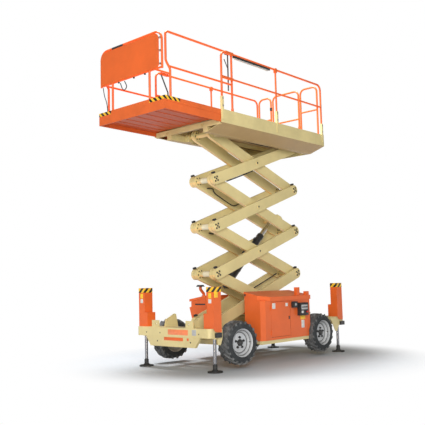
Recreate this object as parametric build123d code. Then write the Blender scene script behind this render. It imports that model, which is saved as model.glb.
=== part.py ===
"""Rough-terrain scissor lift with a raised deck, drawn in millimetres.

X runs from the front (extension end) to the rear, Y across, Z up from the ground.
Every node is one STEP file in parts/.
"""
import math
import os

from build123d import *

# Wheels and steering
WHEEL_X = 1185.0
WHEEL_Z = 431.0
TYRE_OUT_Y = 948.0
TYRE_W = 258.0
LUG_R = 364.0
SHOULDER_R = 332.0
RIM_FLANGE_R = 243.0
RIM_SEAT_R = 226.0
RIM_WALL = 10.0
DISC_R = 174.0
DISC_Y = 862.0
HUB_R = 56.0
SPINDLE_R = 35.0
KINGPIN_Y = 600.0
KINGPIN_R = 22.0
STEER_REST = -6.5
AXLE_HALF = 55.0

# Scissor stack
PIN_FRONT_X = -1056.0
PIN_REAR_X = 1331.0
ROW_0_Z = 743.0
ROW_PITCH = 844.0
STAGES = 4
ARM_HALF_H = 100.0
OUTER_Y0 = 225.0
OUTER_Y1 = 285.0
INNER_Y0 = 155.0
INNER_Y1 = 215.0
PIN_R = 30.0
SLEEVE_R = 50.0
FLANGE_R = 82.0
FLANGE_T = 14.0
CAP_R = 62.0
CAP_T = 12.0
STOP_SIZE = 50.0
STOP_H = 34.0
BUMP_H = 34.0
ROLLER_R = 45.0
ROLLER_W = 50.0

# Clearances
RUN_GAP = 0.1
SEAT_GAP = 0.3
MOVE_GAP = 5.0

# Lift cylinder, measured along the inner arms of stages 1 and 3
CYL_FOOT_S = 575.0
CYL_FOOT_DROP = 15.0
CYL_EYE_S = 500.0
CYL_EYE_RISE = 50.0
BARREL_R = 62.0
BARREL_L = 1415.0
FOOT_END_L = 110.0
HOSE_TRAY_X1 = 900.0
HOSE_TRAY_H = 44.0
STAGE_R = 46.0
STAGE_OUT = 210.0
STAGE_IN = 330.0
ROD_IN = 540.0
ROD_R = 32.0
EYE_R = 42.0
EYE_HALF_W = 40.0
CYL_PIN_R = 24.0

# Chassis
RAIL_Y0 = 340.0
RAIL_Y1 = 460.0
RAIL_Z0 = 495.0
RAIL_Z1 = 625.0
BEAM_Z0 = 550.0
BEAM_Z1 = 700.0
BEAM_HALF_Y = 870.0
TRACK_Y1 = 405.0
TRACK_T = 12.0
TRACK_X0 = -60.0
TRACK_X1 = 1560.0
LUG_Y0 = 305.0
LUG_Y1 = 335.0
SILL_Z0 = 340.0
SILL_Z1 = 400.0
SILL_BRACKETS_X = (-530.0, 80.0, 700.0)
CROSS_MEMBERS_X = (-1500.0, PIN_FRONT_X, -300.0, 400.0, 1080.0, 1640.0)

# Outriggers
LEG_FRONT_X = -1780.0
LEG_REAR_X = 1887.0
LEG_Y = 817.5
BEAM_W = 270.0
FRONT_BEAM_X1 = LEG_FRONT_X + 100.0
FRONT_BEAM_X0 = FRONT_BEAM_X1 - BEAM_W
REAR_BEAM_X0 = LEG_REAR_X - 100.0
REAR_BEAM_X1 = REAR_BEAM_X0 + BEAM_W
BEAM_CORNER_R = 60.0
END_PLATE_T = 12.0
REST_L = 140.0
REST_H = 75.0
REST_T = 34.0
BUMPER_TOP_Y = 650.0
BUMPER_LOW_Y = 530.0
BUMPER_Z0 = 385.0
LEG_R = 28.0
LEG_TOP_Z = 940.0
PAD_R = 125.0
PAD_T = 22.0
PAD_NECK_R = 38.0
PAD_H = 120.0
PAD_HUB_H = 30.0
SLEEVE_OUT_R = 44.0
SLEEVE_TOP_Z = 900.0
COVER_HALF_X = 94.0
COVER_Y0 = 745.0
COVER_Y1 = 895.0
COVER_FOOT_Y0 = 675.0
COVER_FOOT_Z = 940.0
COVER_TOP_Z = 1365.0
COVER_T = 5.0

COVER_SKIRT_Z = 635.0
SKIRT_CUT = 50.0

# Plates at the beams' ends: distance from the leg, height above the beam's foot
FRONT_PLATE = [(-110, 2), (22, -3), (24, -115), (88, -120), (125, -42), (138, 10), (138, 140), (-110, 140)]
REAR_PLATE = [(-327, 140), (-237, 10), (-152, -130), (-84, -130), (-59, -80), (-7, -2), (103, -2), (103, 140)]

# Cabinets
CAB_OUT_Y = 870.0
CAB_IN_Y = 470.0
CAB_Z0 = 400.0
CAB_WALL = 6.0
HOOD_TOP_Z = 1300.0
LID_STUBS = [(470.0, 1310.0), (770.0, 1230.0)]
STUB_L = 95.0
STUB_W = 60.0
CAB_FRONT_X = -585.0
CAB_REAR_X = 860.0
WHEEL_CUT_X = 810.0
WHEEL_CUT_Z = 500.0
CAB_CORNER_X = 85.0
CAB_CORNER_Y = 50.0
LID_OVER = 15.0
LID_EDGE_T = 75.0
LID_LOW_Z = 1082.0
LID_RISE = 100.0
LID_CORNER_X = -370.0
LID_BACK_X = 765.0
TANK_LID_T = 44.0
TANK_LID_RISE = 68.0
TANK_TOP_Y = 855.0
TANK_BULGE_Y = 906.0
TANK_BULGE_Z = 972.0
TANK_LOW_Y = 740.0
SLOT_Z0 = 1016.0
SLOT_Z1 = 1043.0
SLOT_Y0 = 490.0
SLOT_Y1 = 760.0
SLOT_DEPTH = 15.0
NECK_X = -500.0
NECK_Y = 600.0
NECK_R = 28.0
NECK_LEAN = 90.0
CAP_TOP_Z = 1395.0
CAP_T_FILLER = 34.0
CAP_R_FILLER = 83.0
DOOR_X0 = -338.0
DOOR_X1 = 224.0
DOOR_Z0 = 450.0
DOOR_Z1 = 1062.0
DOOR_T = 18.0
HINGE_R = 9.0
HINGE_PIN_R = 4.0

# Work platform
DECK_X0 = -1490.0
DECK_X1 = 1650.0
DECK_OUT_Y = 835.0
DECK_SIDE_T = 10.0
FASCIA_Z0 = 4140.0
FASCIA_Z1 = 4374.0
SOFFIT_T = 8.0
FLOOR_Z0 = 4240.0
FLOOR_Z1 = 4280.0
FLOOR_IN_Y = 750.0
END_T = 8.0
CHANNEL_Y0 = 400.0
CHANNEL_Y1 = 500.0
CHANNEL_Z0 = 4030.0
CHANNEL_Z1 = 4200.0
LOW_BEAM_Z1 = 4144.0
CROSS_X1 = DECK_X0 + 50.0
CROSS_HALF_Y = 792.0
CROSS_Z0 = 4117.0
CROSS_Z1 = 4212.0
POCKET_X1 = -250.0
RAIL_R = 19.0
MID_RAIL_R = 17.0
RAIL_BEND = 110.0
RAIL_Y = 822.0
TOP_RAIL_Z = 5398.0
SOCKET_HALF = 22.0
SOCKET_DEPTH = 60.0
STRIP_T = 10.0
STRIP_Z0 = 4190.0
CROSS_HOLES_Y = (-390.0, 478.0)
FLOOR_WIDE_X = 60.0

# Guard rails, with heights as shares of the rail height above the deck's edge
RAIL_RISE = TOP_RAIL_Z - FASCIA_Z1
MID_RAIL_Z = FASCIA_Z1 + 0.557 * RAIL_RISE
LOOP_MID_Z = FASCIA_Z1 + 0.523 * RAIL_RISE
GATE_MID_Z = FASCIA_Z1 + 0.41 * RAIL_RISE
SOCKET_TOP_Z = FASCIA_Z1 + 0.218 * RAIL_RISE
KNEE_LOW_Z = FASCIA_Z1 + 0.44 * RAIL_RISE
KNEE_HIGH_Z = FASCIA_Z1 + 0.56 * RAIL_RISE
FRAME_LOW_Z = FASCIA_Z1 + 0.445 * RAIL_RISE
EXT_MID_Z = FASCIA_Z1 + 0.483 * RAIL_RISE
EXT_TOP_Z = TOP_RAIL_Z + 32.0
COLLAR_TOP_Z = FASCIA_Z1 + 0.8 * RAIL_RISE
RAIL_X0 = -1452.0
RAIL_SPLIT_X = 90.0
RAIL_X1 = 1600.0
BRACKET_L = 310.0
LOOP_X = 1580.0
LOOP_NEAR_IN_Y = -345.0
LOOP_FAR_IN_Y = 430.0
LOOP_OUT_Y = 752.0
GATE_Y0 = -295.0
GATE_Y1 = 375.0
GATE_LIFT = 60.0

# Roll-out extension
EXT_X0 = -2791.0
EXT_X1 = -1150.0
EXT_UNDER_X1 = -1500.0
EXT_OUT_Y = 819.0
EXT_SIDE_T = 19.0
EXT_STEP_T = 6.0
EXT_STEP_Z = 4280.0
EXT_Z0 = 4150.0
EXT_Z1 = FASCIA_Z1 - 8.0
EXT_FLOOR_Z0 = 4286.0
EXT_FLOOR_Z1 = 4296.0
EXT_UNDER_Z0 = 4226.0
EXT_UNDER_Z1 = 4232.0
EXT_RAIL_Y = 768.0
EXT_NOSE_X = EXT_X0 + 76.0
EXT_POST_X = EXT_X0 + 171.0
EXT_FOOT_R = 24.0
EXT_RIBS_Y = (120.0, 360.0, 560.0, 700.0)
EXT_RIB_Z0 = 4218.0
FRAME_X = -2781.0
FRAME_HALF_Y = 757.0
FRAME_POST_Y = 460.0
PANEL_T = 8.0
PANEL_LOW_R = 60.0
PANEL_TOP_R = 110.0
FRAME_BEND = 150.0
PANEL_Y0 = -708.0
PANEL_Y1 = 742.0
PANEL_FRONT_X = FRAME_X - RAIL_R - SEAT_GAP - PANEL_T

# Row frame: origin on the ground at the middle of the whole machine
CENTRE_X = (PANEL_FRONT_X + REAR_BEAM_X1) / 2.0

ARM_RUN = PIN_REAR_X - PIN_FRONT_X
ARM_L = math.hypot(ARM_RUN, ROW_PITCH)
ARM_ANGLE = math.degrees(math.atan2(ROW_PITCH, ARM_RUN))
TOP_PIN_Z = ROW_0_Z + STAGES * ROW_PITCH


def box(x0, x1, y0, y1, z0, z1):
    """Block between the stated limits."""
    centre = Pos((x0 + x1) / 2, (y0 + y1) / 2, (z0 + z1) / 2)
    return centre * Box(abs(x1 - x0), abs(y1 - y0), abs(z1 - z0))


def rod_y(x, z, y0, y1, radius):
    """Round bar across the machine."""
    return Pos(x, (y0 + y1) / 2, z) * Rot(90, 0, 0) * Cylinder(radius, abs(y1 - y0))


def rod_z(x, y, z0, z1, radius):
    """Upright round bar."""
    return Pos(x, y, (z0 + z1) / 2) * Cylinder(radius, abs(z1 - z0))


def other_side(shape):
    """Copy on the far side of the centre plane."""
    return mirror(shape, about=Plane.XZ)


def both_sides(shape):
    """The shape and its copy across the centre plane."""
    return shape + other_side(shape)


def pipe(points, radius=RAIL_R, bend=RAIL_BEND):
    """Bent round tube along straight runs."""
    path = Line(*points) if len(points) == 2 else FilletPolyline(*points, radius=bend)
    section = Plane(origin=points[0], z_dir=path % 0) * Circle(radius)
    return sweep(section, path=path)


def prism_y(points, y0, y1):
    """Plate with an X-Z outline between two Y planes."""
    face = make_face(Polyline(*[(x, 0, z) for x, z in points], close=True))
    return Pos(0, y0, 0) * extrude(face, amount=y1 - y0, dir=(0, 1, 0))


def prism_x(points, x0, x1):
    """Plate with a Y-Z outline between two X planes."""
    face = make_face(Polyline(*[(0, y, z) for y, z in points], close=True))
    return Pos(x0, 0, 0) * extrude(face, amount=x1 - x0, dir=(1, 0, 0))


def row_z(row):
    """Height of a row of end pins."""
    return ROW_0_Z + row * ROW_PITCH


# Scissor arms: local X runs from the front pin to the rear pin


def outer_place(stage):
    """Place of an outer arm, which climbs to the rear."""
    return Pos(PIN_FRONT_X, 0, row_z(stage - 1)) * Rot(0, -ARM_ANGLE, 0)


def inner_place(stage):
    """Place of an inner arm, which climbs to the front."""
    return Pos(PIN_FRONT_X, 0, row_z(stage)) * Rot(0, ARM_ANGLE, 0)


def arm_blank(y0, y1, bore_r):
    """Round-ended bar with a bore at each end."""
    outline = Pos(ARM_L / 2, 0) * SlotCenterToCenter(ARM_L, 2 * ARM_HALF_H)
    bar = Pos(0, y1, 0) * Rot(90, 0, 0) * extrude(outline, amount=y1 - y0)
    bar -= rod_y(0, 0, y0 - 1, y1 + 1, bore_r)
    return bar - rod_y(ARM_L, 0, y0 - 1, y1 + 1, bore_r)


def stop_block(x, y_mid):
    """Rubber rest block on the top edge of an arm."""
    half = STOP_SIZE / 2
    return box(x - half, x + half, y_mid - half, y_mid + half, ARM_HALF_H - 2, ARM_HALF_H + STOP_H)


def shaft(x, half_width):
    """Full-width pivot shaft at one end of an arm."""
    return rod_y(x, 0, -half_width, half_width, PIN_R)


def roller(x, y_out):
    """Pair of track rollers with their bore on the shaft."""
    wheel = rod_y(x, 0, -y_out, -y_out + ROLLER_W, ROLLER_R)
    wheel -= rod_y(x, 0, -y_out - 1, -y_out + ROLLER_W + 1, PIN_R + SEAT_GAP)
    return both_sides(wheel)


def outer_arms(stage):
    """Outer pair with its shafts and centre pins."""
    mid_y = -(OUTER_Y0 + OUTER_Y1) / 2
    bar = arm_blank(-OUTER_Y1, -OUTER_Y0, PIN_R + SEAT_GAP)
    bar += rod_y(ARM_L / 2, 0, -OUTER_Y0 - 10, -INNER_Y0 + 8, PIN_R)
    bar += rod_y(ARM_L / 2, 0, -OUTER_Y1 - 8, -OUTER_Y1 + 1, CAP_R - 24)
    bar += stop_block(0, mid_y)
    if stage < STAGES:
        bar += stop_block(ARM_L, mid_y)
    front_half = LUG_Y1 + 8 if stage == 1 else OUTER_Y1 + CAP_T
    rear_half = CHANNEL_Y1 - 14 if stage == STAGES else OUTER_Y1 + CAP_T
    solids = [bar, other_side(bar), shaft(0, front_half), shaft(ARM_L, rear_half)]
    if stage == STAGES:
        solids.append(roller(ARM_L, CHANNEL_Y1 - 14))
    return outer_place(stage) * Compound(flat(solids))


def sleeve(x):
    """Cross tube between the inner arms, with a flange at each end."""
    end = INNER_Y0 - SEAT_GAP
    tube = rod_y(x, 0, -end, end, SLEEVE_R)
    tube += both_sides(rod_y(x, 0, -end, -end + FLANGE_T, FLANGE_R))
    return tube - rod_y(x, 0, -end - 1, end + 1, PIN_R + RUN_GAP)


def eye_stub():
    """Pin stub that holds the rod's eye from one inner arm."""
    x = ARM_L - CYL_EYE_S
    gap = EYE_HALF_W + MOVE_GAP
    pin = rod_y(x, CYL_EYE_RISE, -INNER_Y0 - 2, -gap, CYL_PIN_R)
    return pin + rod_y(x, CYL_EYE_RISE, -INNER_Y0 - 2, -gap - 30, 1.8 * CYL_PIN_R)


def eye_bump():
    """Raised bracket on the top edge of an inner arm."""
    x = ARM_L - CYL_EYE_S - 20
    low = ARM_HALF_H - 30
    high = ARM_HALF_H + BUMP_H
    plate = prism_y([(x - 150, low), (x - 60, high), (x + 60, high), (x + 170, low)],
                    -INNER_Y1, -INNER_Y0)
    return plate + rod_y(x, high - 22, -INNER_Y1 - 8, -INNER_Y1 + 1, 18)


def inner_arms(stage):
    """Inner pair with its cross tubes."""
    bar = arm_blank(-INNER_Y1, -INNER_Y0, PIN_R + RUN_GAP)
    bar -= rod_y(ARM_L / 2, 0, -INNER_Y1 - 1, -INNER_Y0 + 1, PIN_R + RUN_GAP)
    if stage == 3:
        bar += eye_bump()
        bar += eye_stub()
    solids = [bar, other_side(bar), sleeve(0), sleeve(ARM_L)]
    if stage == 1:
        half = INNER_Y0 - SEAT_GAP
        solids.append(rod_y(CYL_FOOT_S, -CYL_FOOT_DROP, -half, half, CYL_PIN_R))
        solids.append(shaft(ARM_L, TRACK_Y1 - TRACK_T - 5))
        solids.append(roller(ARM_L, TRACK_Y1 - TRACK_T - 5))
    if stage == STAGES:
        solids.append(shaft(0, CHANNEL_Y0 - 5))
    return inner_place(stage) * Compound(flat(solids))


def flat(shapes):
    """Every separate solid of a list of shapes."""
    return [solid for shape in shapes for solid in shape.solids()]


# Lift cylinder: local X runs from the foot pin to the rod's eye


def cylinder_ends():
    """Foot pin and eye of the lift cylinder at rest."""
    foot = inner_place(1) * Pos(CYL_FOOT_S, 0, -CYL_FOOT_DROP)
    eye = inner_place(3) * Pos(ARM_L - CYL_EYE_S, 0, CYL_EYE_RISE)
    return foot.position, eye.position


def cylinder_place():
    """Place of the cylinder's own frame at its foot pin."""
    foot, eye = cylinder_ends()
    angle = math.degrees(math.atan2(eye.Z - foot.Z, eye.X - foot.X))
    return Pos(foot.X, 0, foot.Z) * Rot(0, -angle, 0)


def along(x0, x1, radius):
    """Round bar along the cylinder's axis."""
    return Pos((x0 + x1) / 2, 0, 0) * Rot(0, 90, 0) * Cylinder(radius, x1 - x0)


def cylinder_length():
    """Pin-to-eye length at rest."""
    foot, eye = cylinder_ends()
    return math.hypot(eye.X - foot.X, eye.Z - foot.Z)


def lift_barrel():
    """Barrel with its foot eye, hose tray, gland ring and open mouth."""
    body = along(40, BARREL_L, BARREL_R)
    body += along(BARREL_L - 70, BARREL_L, BARREL_R + 6)
    body += rod_y(0, 0, -EYE_HALF_W, EYE_HALF_W, BARREL_R)
    body += box(0, 90, -EYE_HALF_W, EYE_HALF_W, -BARREL_R, BARREL_R)
    body += box(60, HOSE_TRAY_X1, -EYE_HALF_W, EYE_HALF_W, BARREL_R - 20, BARREL_R + HOSE_TRAY_H)
    body -= along(FOOT_END_L, BARREL_L + 1, STAGE_R + SEAT_GAP)
    return cylinder_place() * (body - rod_y(0, 0, -2 * EYE_R, 2 * EYE_R, CYL_PIN_R + RUN_GAP))


def lift_stage():
    """Middle tube of the two-stage cylinder."""
    end = BARREL_L + STAGE_OUT
    tube = along(STAGE_IN, end, STAGE_R)
    return cylinder_place() * (tube - along(STAGE_IN - 1, end + 1, ROD_R + SEAT_GAP))


def lift_rod():
    """Rod with the eye that sits between the stubs of stage 3."""
    length = cylinder_length()
    rod = along(ROD_IN, length, ROD_R)
    rod += rod_y(length, 0, -EYE_HALF_W, EYE_HALF_W, EYE_R)
    return cylinder_place() * rod


# Wheels and axles


def wheel_place(x, side):
    """Place of a wheel's frame: local Z points outward."""
    return Pos(x, side * TYRE_OUT_Y, WHEEL_Z) * Rot(-90 * side, 0, 0)


def tyre(x, side):
    """Plain tyre out to the lugs' tips."""
    half = TYRE_W / 2
    inner = RIM_SEAT_R + SEAT_GAP
    outline = [(inner, -19), (RIM_FLANGE_R + 2, -19), (RIM_FLANGE_R + 6, -3), (RIM_FLANGE_R + 34, 0),
               (SHOULDER_R, -18), (LUG_R, -50), (LUG_R + 0.001, -half)]
    back = [(r, -TYRE_W - z) for r, z in reversed(outline[:-1])]
    face = make_face(Polyline(*[(r, 0, z) for r, z in outline + back], close=True))
    return wheel_place(x, side) * revolve(face, axis=Axis.Z)


def rim(x, side):
    """Stepped, dished rim with its disc and hub."""
    disc = DISC_Y - TYRE_OUT_Y
    bore = SPINDLE_R + RUN_GAP
    well = RIM_SEAT_R - RIM_WALL
    step = (DISC_R + well) / 2
    points = [(bore, disc - 70), (HUB_R + 18, disc - 70), (HUB_R + 18, disc - 16), (DISC_R - 12, disc - 16),
              (step, disc - 30), (well - 2, -150), (well - 2, -TYRE_W + 14), (RIM_SEAT_R + 4, -TYRE_W + 1),
              (RIM_FLANGE_R, -TYRE_W + 1), (RIM_FLANGE_R, -TYRE_W + 9), (RIM_SEAT_R, -TYRE_W + 16),
              (RIM_SEAT_R, -16), (RIM_FLANGE_R, -9), (RIM_FLANGE_R, -1), (RIM_SEAT_R + 6, -1),
              (well, -14), (well - 2, -40), (step + 4, -46), (DISC_R, disc - 8), (DISC_R - 18, disc),
              (HUB_R + 34, disc), (HUB_R + 26, disc + 8), (HUB_R, disc + 8), (HUB_R - 6, disc + 30),
              (0, disc + 30), (0, disc + 12), (bore, disc + 12)]
    face = make_face(Polyline(*[(r, 0, z) for r, z in points], close=True))
    return wheel_place(x, side) * revolve(face, axis=Axis.Z)


def spindle(x, side, y0):
    """Stub shaft that carries a hub."""
    return rod_y(x, WHEEL_Z, side * y0, side * (DISC_Y + 8), SPINDLE_R)


def axle_pads(x):
    """Pads that seat an axle under the rails."""
    top = WHEEL_Z + AXLE_HALF
    return both_sides(box(x - 70, x + 70, RAIL_Y0, RAIL_Y1, top - 12, RAIL_Z0))


def rear_axle():
    """Rear beam with both spindles."""
    beam = box(WHEEL_X - AXLE_HALF, WHEEL_X + AXLE_HALF, -700, 700,
               WHEEL_Z - AXLE_HALF, WHEEL_Z + AXLE_HALF)
    beam += axle_pads(WHEEL_X)
    return beam + spindle(WHEEL_X, -1, 690) + spindle(WHEEL_X, 1, 690)


def front_axle():
    """Front beam with a clevis and kingpin at each end."""
    beam = box(-WHEEL_X - AXLE_HALF, -WHEEL_X + AXLE_HALF, -KINGPIN_Y + 70, KINGPIN_Y - 70,
               WHEEL_Z - AXLE_HALF, WHEEL_Z + AXLE_HALF)
    ears = box(-WHEEL_X - 40, -WHEEL_X + 40, KINGPIN_Y - 72, KINGPIN_Y + 40, WHEEL_Z - 90, WHEEL_Z - 60)
    ears += box(-WHEEL_X - 40, -WHEEL_X + 40, KINGPIN_Y - 72, KINGPIN_Y + 40, WHEEL_Z + 60, WHEEL_Z + 90)
    ears += box(-WHEEL_X - 40, -WHEEL_X + 40, KINGPIN_Y - 90, KINGPIN_Y - 70, WHEEL_Z - 90, WHEEL_Z + 90)
    ears += rod_z(-WHEEL_X, KINGPIN_Y, WHEEL_Z - 90, WHEEL_Z + 90, KINGPIN_R)
    return beam + axle_pads(-WHEEL_X) + both_sides(ears)


def steered(shape, side):
    """The shape turned about its kingpin to the steering angle at rest."""
    pivot = Pos(-WHEEL_X, side * KINGPIN_Y, 0)
    return pivot * Rot(0, 0, STEER_REST) * pivot.inverse() * shape


def knuckle(side):
    """Steering knuckle with its spindle."""
    body = box(-WHEEL_X - 42, -WHEEL_X + 42, side * (KINGPIN_Y - 40), side * (KINGPIN_Y + 60),
               WHEEL_Z - 54, WHEEL_Z + 54)
    body += spindle(-WHEEL_X, side, KINGPIN_Y + 50)
    body -= rod_z(-WHEEL_X, side * KINGPIN_Y, WHEEL_Z - 60, WHEEL_Z + 60, KINGPIN_R + RUN_GAP)
    return steered(body, side)


def wheel_nodes():
    """Tyre and rim of every wheel, with the front pair steered."""
    table = {}
    for name, side in (("near", -1), ("far", 1)):
        table[f"tyre_front_{name}"] = steered(tyre(-WHEEL_X, side), side)
        table[f"rim_front_{name}"] = steered(rim(-WHEEL_X, side), side)
        table[f"tyre_rear_{name}"] = tyre(WHEEL_X, side)
        table[f"rim_rear_{name}"] = rim(WHEEL_X, side)
    return table


# Chassis


def track():
    """Channel that guides the lower rollers."""
    low = ROW_0_Z - ROLLER_R - SEAT_GAP
    high = ROW_0_Z + ROLLER_R + SEAT_GAP
    web = box(TRACK_X0, TRACK_X1, TRACK_Y1 - TRACK_T, TRACK_Y1, RAIL_Z1 - 5, high + TRACK_T)
    lower = box(TRACK_X0, TRACK_X1, RAIL_Y0, TRACK_Y1, low - TRACK_T, low)
    upper = box(TRACK_X0, TRACK_X1, RAIL_Y0, TRACK_Y1, high, high + TRACK_T)
    return web + lower + upper


def pivot_lug():
    """Fixed lug for the foot shaft of stage 1."""
    outline = [(PIN_FRONT_X - 150, RAIL_Z1 - 20), (PIN_FRONT_X + 130, RAIL_Z1 - 20),
               (PIN_FRONT_X + 70, ROW_0_Z + 50), (PIN_FRONT_X - 50, ROW_0_Z + 65)]
    plate = prism_y(outline, LUG_Y0, LUG_Y1)
    plate += box(PIN_FRONT_X - 150, PIN_FRONT_X + 130, LUG_Y0, RAIL_Y0 + 5, RAIL_Z0 + 20, RAIL_Z1)
    return plate - rod_y(PIN_FRONT_X, ROW_0_Z, LUG_Y0 - 1, LUG_Y1 + 1, PIN_R + RUN_GAP)


def cabinet_sill(side, out_y):
    """Cabinet sill on its brackets, on one side of the machine."""
    sill = box(CAB_FRONT_X - 20, CAB_REAR_X - 50, side * (out_y - 60), side * out_y, SILL_Z0, SILL_Z1)
    for x in SILL_BRACKETS_X:
        sill += box(x - 30, x + 30, side * (RAIL_Y0 + 10), side * (out_y - 10), SILL_Z0 + 5, SILL_Z1 - 5)
        sill += box(x - 30, x + 30, side * (RAIL_Y0 + 10), side * (RAIL_Y1 - 10), SILL_Z1 - 10, RAIL_Z0 + 5)
    return sill


def chassis_frame():
    """Main rails with cross-members, tracks, lugs and cabinet sills."""
    side = box(FRONT_BEAM_X1, REAR_BEAM_X0, RAIL_Y0, RAIL_Y1, RAIL_Z0, RAIL_Z1)
    side += track()
    side += pivot_lug()
    frame = both_sides(side)
    frame += cabinet_sill(-1, CAB_OUT_Y - 10)
    frame += cabinet_sill(1, TANK_LOW_Y - 10)
    for x in CROSS_MEMBERS_X:
        frame += box(x - 50, x + 50, -RAIL_Y0 - 5, RAIL_Y0 + 5, RAIL_Z0 + 15, RAIL_Z1 - 10)
    return frame


def leg_sleeve(x):
    """Guide tube for one outrigger leg."""
    return rod_z(x, LEG_Y, BEAM_Z0 - 20, SLEEVE_TOP_Z, SLEEVE_OUT_R)


def end_plate(x, outline):
    """Pointed plate at a beam's end, with its outline measured from the leg and the beam's foot."""
    points = [(x + along_x, BEAM_Z0 + rise) for along_x, rise in outline]
    return prism_y(points, BEAM_HALF_Y - END_PLATE_T, BEAM_HALF_Y)


def rest_block(x0, z0):
    """Rubber block on a beam's end."""
    return box(x0, x0 + REST_L, BEAM_HALF_Y - 2, BEAM_HALF_Y + REST_T, z0, z0 + REST_H)


def cross_beam(x0, x1, leg_x):
    """Outrigger beam with a guide tube at each end."""
    beam = box(x0, x1, -BEAM_HALF_Y, BEAM_HALF_Y, BEAM_Z0, BEAM_Z1)
    beam = fillet(beam.edges().filter_by(Axis.Z), BEAM_CORNER_R)
    return beam + both_sides(leg_sleeve(leg_x))


def leg_bores(leg_x):
    """Bores in which both legs of a beam slide."""
    return both_sides(rod_z(leg_x, LEG_Y, BEAM_Z0 - 200, SLEEVE_TOP_Z + 10, LEG_R + RUN_GAP))


def tie_lug():
    """Upright tie-down plate on the front beam."""
    plate = box(FRONT_BEAM_X0 + 12, FRONT_BEAM_X0 + 32, -492, -322, BEAM_Z1 - 5, 818)
    return plate - Pos(FRONT_BEAM_X0 + 22, -389, 761) * Rot(0, 90, 0) * Cylinder(16, 60)


def tow_gusset():
    """Sloped gusset between the front beam and a main rail."""
    outline = [(FRONT_BEAM_X1 - 80, BEAM_Z1 - 5), (FRONT_BEAM_X1 - 58, 815), (FRONT_BEAM_X1 + 150, 910),
               (FRONT_BEAM_X1 + 180, 900), (FRONT_BEAM_X1 + 240, RAIL_Z1), (FRONT_BEAM_X1 - 5, RAIL_Z1),
               (FRONT_BEAM_X1 - 5, BEAM_Z1 - 5)]
    plate = prism_y(outline, -RAIL_Y0 - 30, -RAIL_Y0)
    return plate - rod_y(FRONT_BEAM_X1 - 25, 806, -RAIL_Y0 - 31, -RAIL_Y0 + 1, 13)


def bumper():
    """Tapered bumper plate under the front beam, with its slots."""
    plate = prism_x([(-BUMPER_TOP_Y, BEAM_Z0 + 5), (BUMPER_TOP_Y, BEAM_Z0 + 5),
                     (BUMPER_LOW_Y, BUMPER_Z0), (-BUMPER_LOW_Y, BUMPER_Z0)],
                    FRONT_BEAM_X0 + 12, FRONT_BEAM_X0 + 60)
    return plate


def front_beam():
    """Front outrigger beam with its bumper, lugs and end plates."""
    ends = end_plate(LEG_FRONT_X, FRONT_PLATE)
    ends += rest_block(LEG_FRONT_X - 50, BEAM_Z0 + 5)
    beam = cross_beam(FRONT_BEAM_X0, FRONT_BEAM_X1, LEG_FRONT_X) + both_sides(ends)
    beam += bumper() + tie_lug() + other_side(tie_lug()) + tow_gusset() + other_side(tow_gusset())
    return beam - leg_bores(LEG_FRONT_X)


def rear_beam():
    """Rear outrigger beam with its end plates."""
    ends = end_plate(LEG_REAR_X, REAR_PLATE)
    ends += rest_block(REAR_BEAM_X1 - BEAM_CORNER_R - 110, BEAM_Z0 - 20)
    beam = cross_beam(REAR_BEAM_X0, REAR_BEAM_X1, LEG_REAR_X) + both_sides(ends)
    return beam - leg_bores(LEG_REAR_X)


def leg_cover(x):
    """Sheet cover over one leg."""
    upper = box(x - COVER_HALF_X, x + COVER_HALF_X, COVER_Y0, COVER_Y1, BEAM_Z1, COVER_TOP_Z)
    foot = box(x - COVER_HALF_X, x + COVER_HALF_X, COVER_FOOT_Y0, COVER_Y1, BEAM_Z1, COVER_FOOT_Z)
    inner = box(x - COVER_HALF_X + COVER_T, x + COVER_HALF_X - COVER_T,
                COVER_Y0 + COVER_T, COVER_Y1 - COVER_T, BEAM_Z1 - 1, COVER_TOP_Z - COVER_T)
    inner += box(x - COVER_HALF_X + COVER_T, x + COVER_HALF_X - COVER_T,
                 COVER_FOOT_Y0 + COVER_T, COVER_Y1 - COVER_T, BEAM_Z1 - 1, COVER_FOOT_Z - COVER_T)
    skirt = prism_y([(x - COVER_HALF_X, BEAM_Z1 + 5), (x - COVER_HALF_X, BEAM_Z1 - 10),
                     (x - COVER_HALF_X + SKIRT_CUT, COVER_SKIRT_Z + 10), (x + COVER_HALF_X, COVER_SKIRT_Z),
                     (x + COVER_HALF_X, BEAM_Z1 + 5)], COVER_Y1 - COVER_T, COVER_Y1)
    return upper + foot - inner + skirt


def leg_covers():
    """All four leg covers."""
    return both_sides(leg_cover(LEG_FRONT_X)) + both_sides(leg_cover(LEG_REAR_X))


def leg(x, side):
    """Outrigger leg with its round pad."""
    y = side * LEG_Y
    tube = rod_z(x, y, PAD_H - 5, LEG_TOP_Z, LEG_R)
    tube += rod_z(x, y, 0, PAD_T, PAD_R)
    neck = Pos(x, y, PAD_T + PAD_HUB_H / 2) * Cone(PAD_R / 2, PAD_NECK_R, PAD_HUB_H)
    return tube + neck + rod_z(x, y, PAD_T, PAD_H, PAD_NECK_R)


def prism_z(points, z0, z1):
    """Plate with an X-Y outline between two levels."""
    face = make_face(Polyline(*[(x, y, 0) for x, y in points], close=True))
    return Pos(0, 0, z0) * extrude(face, amount=z1 - z0)


def cut_corner(x0, x1, y0, y1, corner_x, corner_y):
    """Plan outline of a cabinet with its outer front corner cut back."""
    return [(x0, y0), (x0, y1 - corner_y), (x0 + corner_x, y1), (x1, y1), (x1, y0)]


def inset(points, wall):
    """Outline moved inward by a wall thickness."""
    face = make_face(Polyline(*[(x, y) for x, y in points], close=True))
    return offset(face, -wall, kind=Kind.INTERSECTION)


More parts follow.
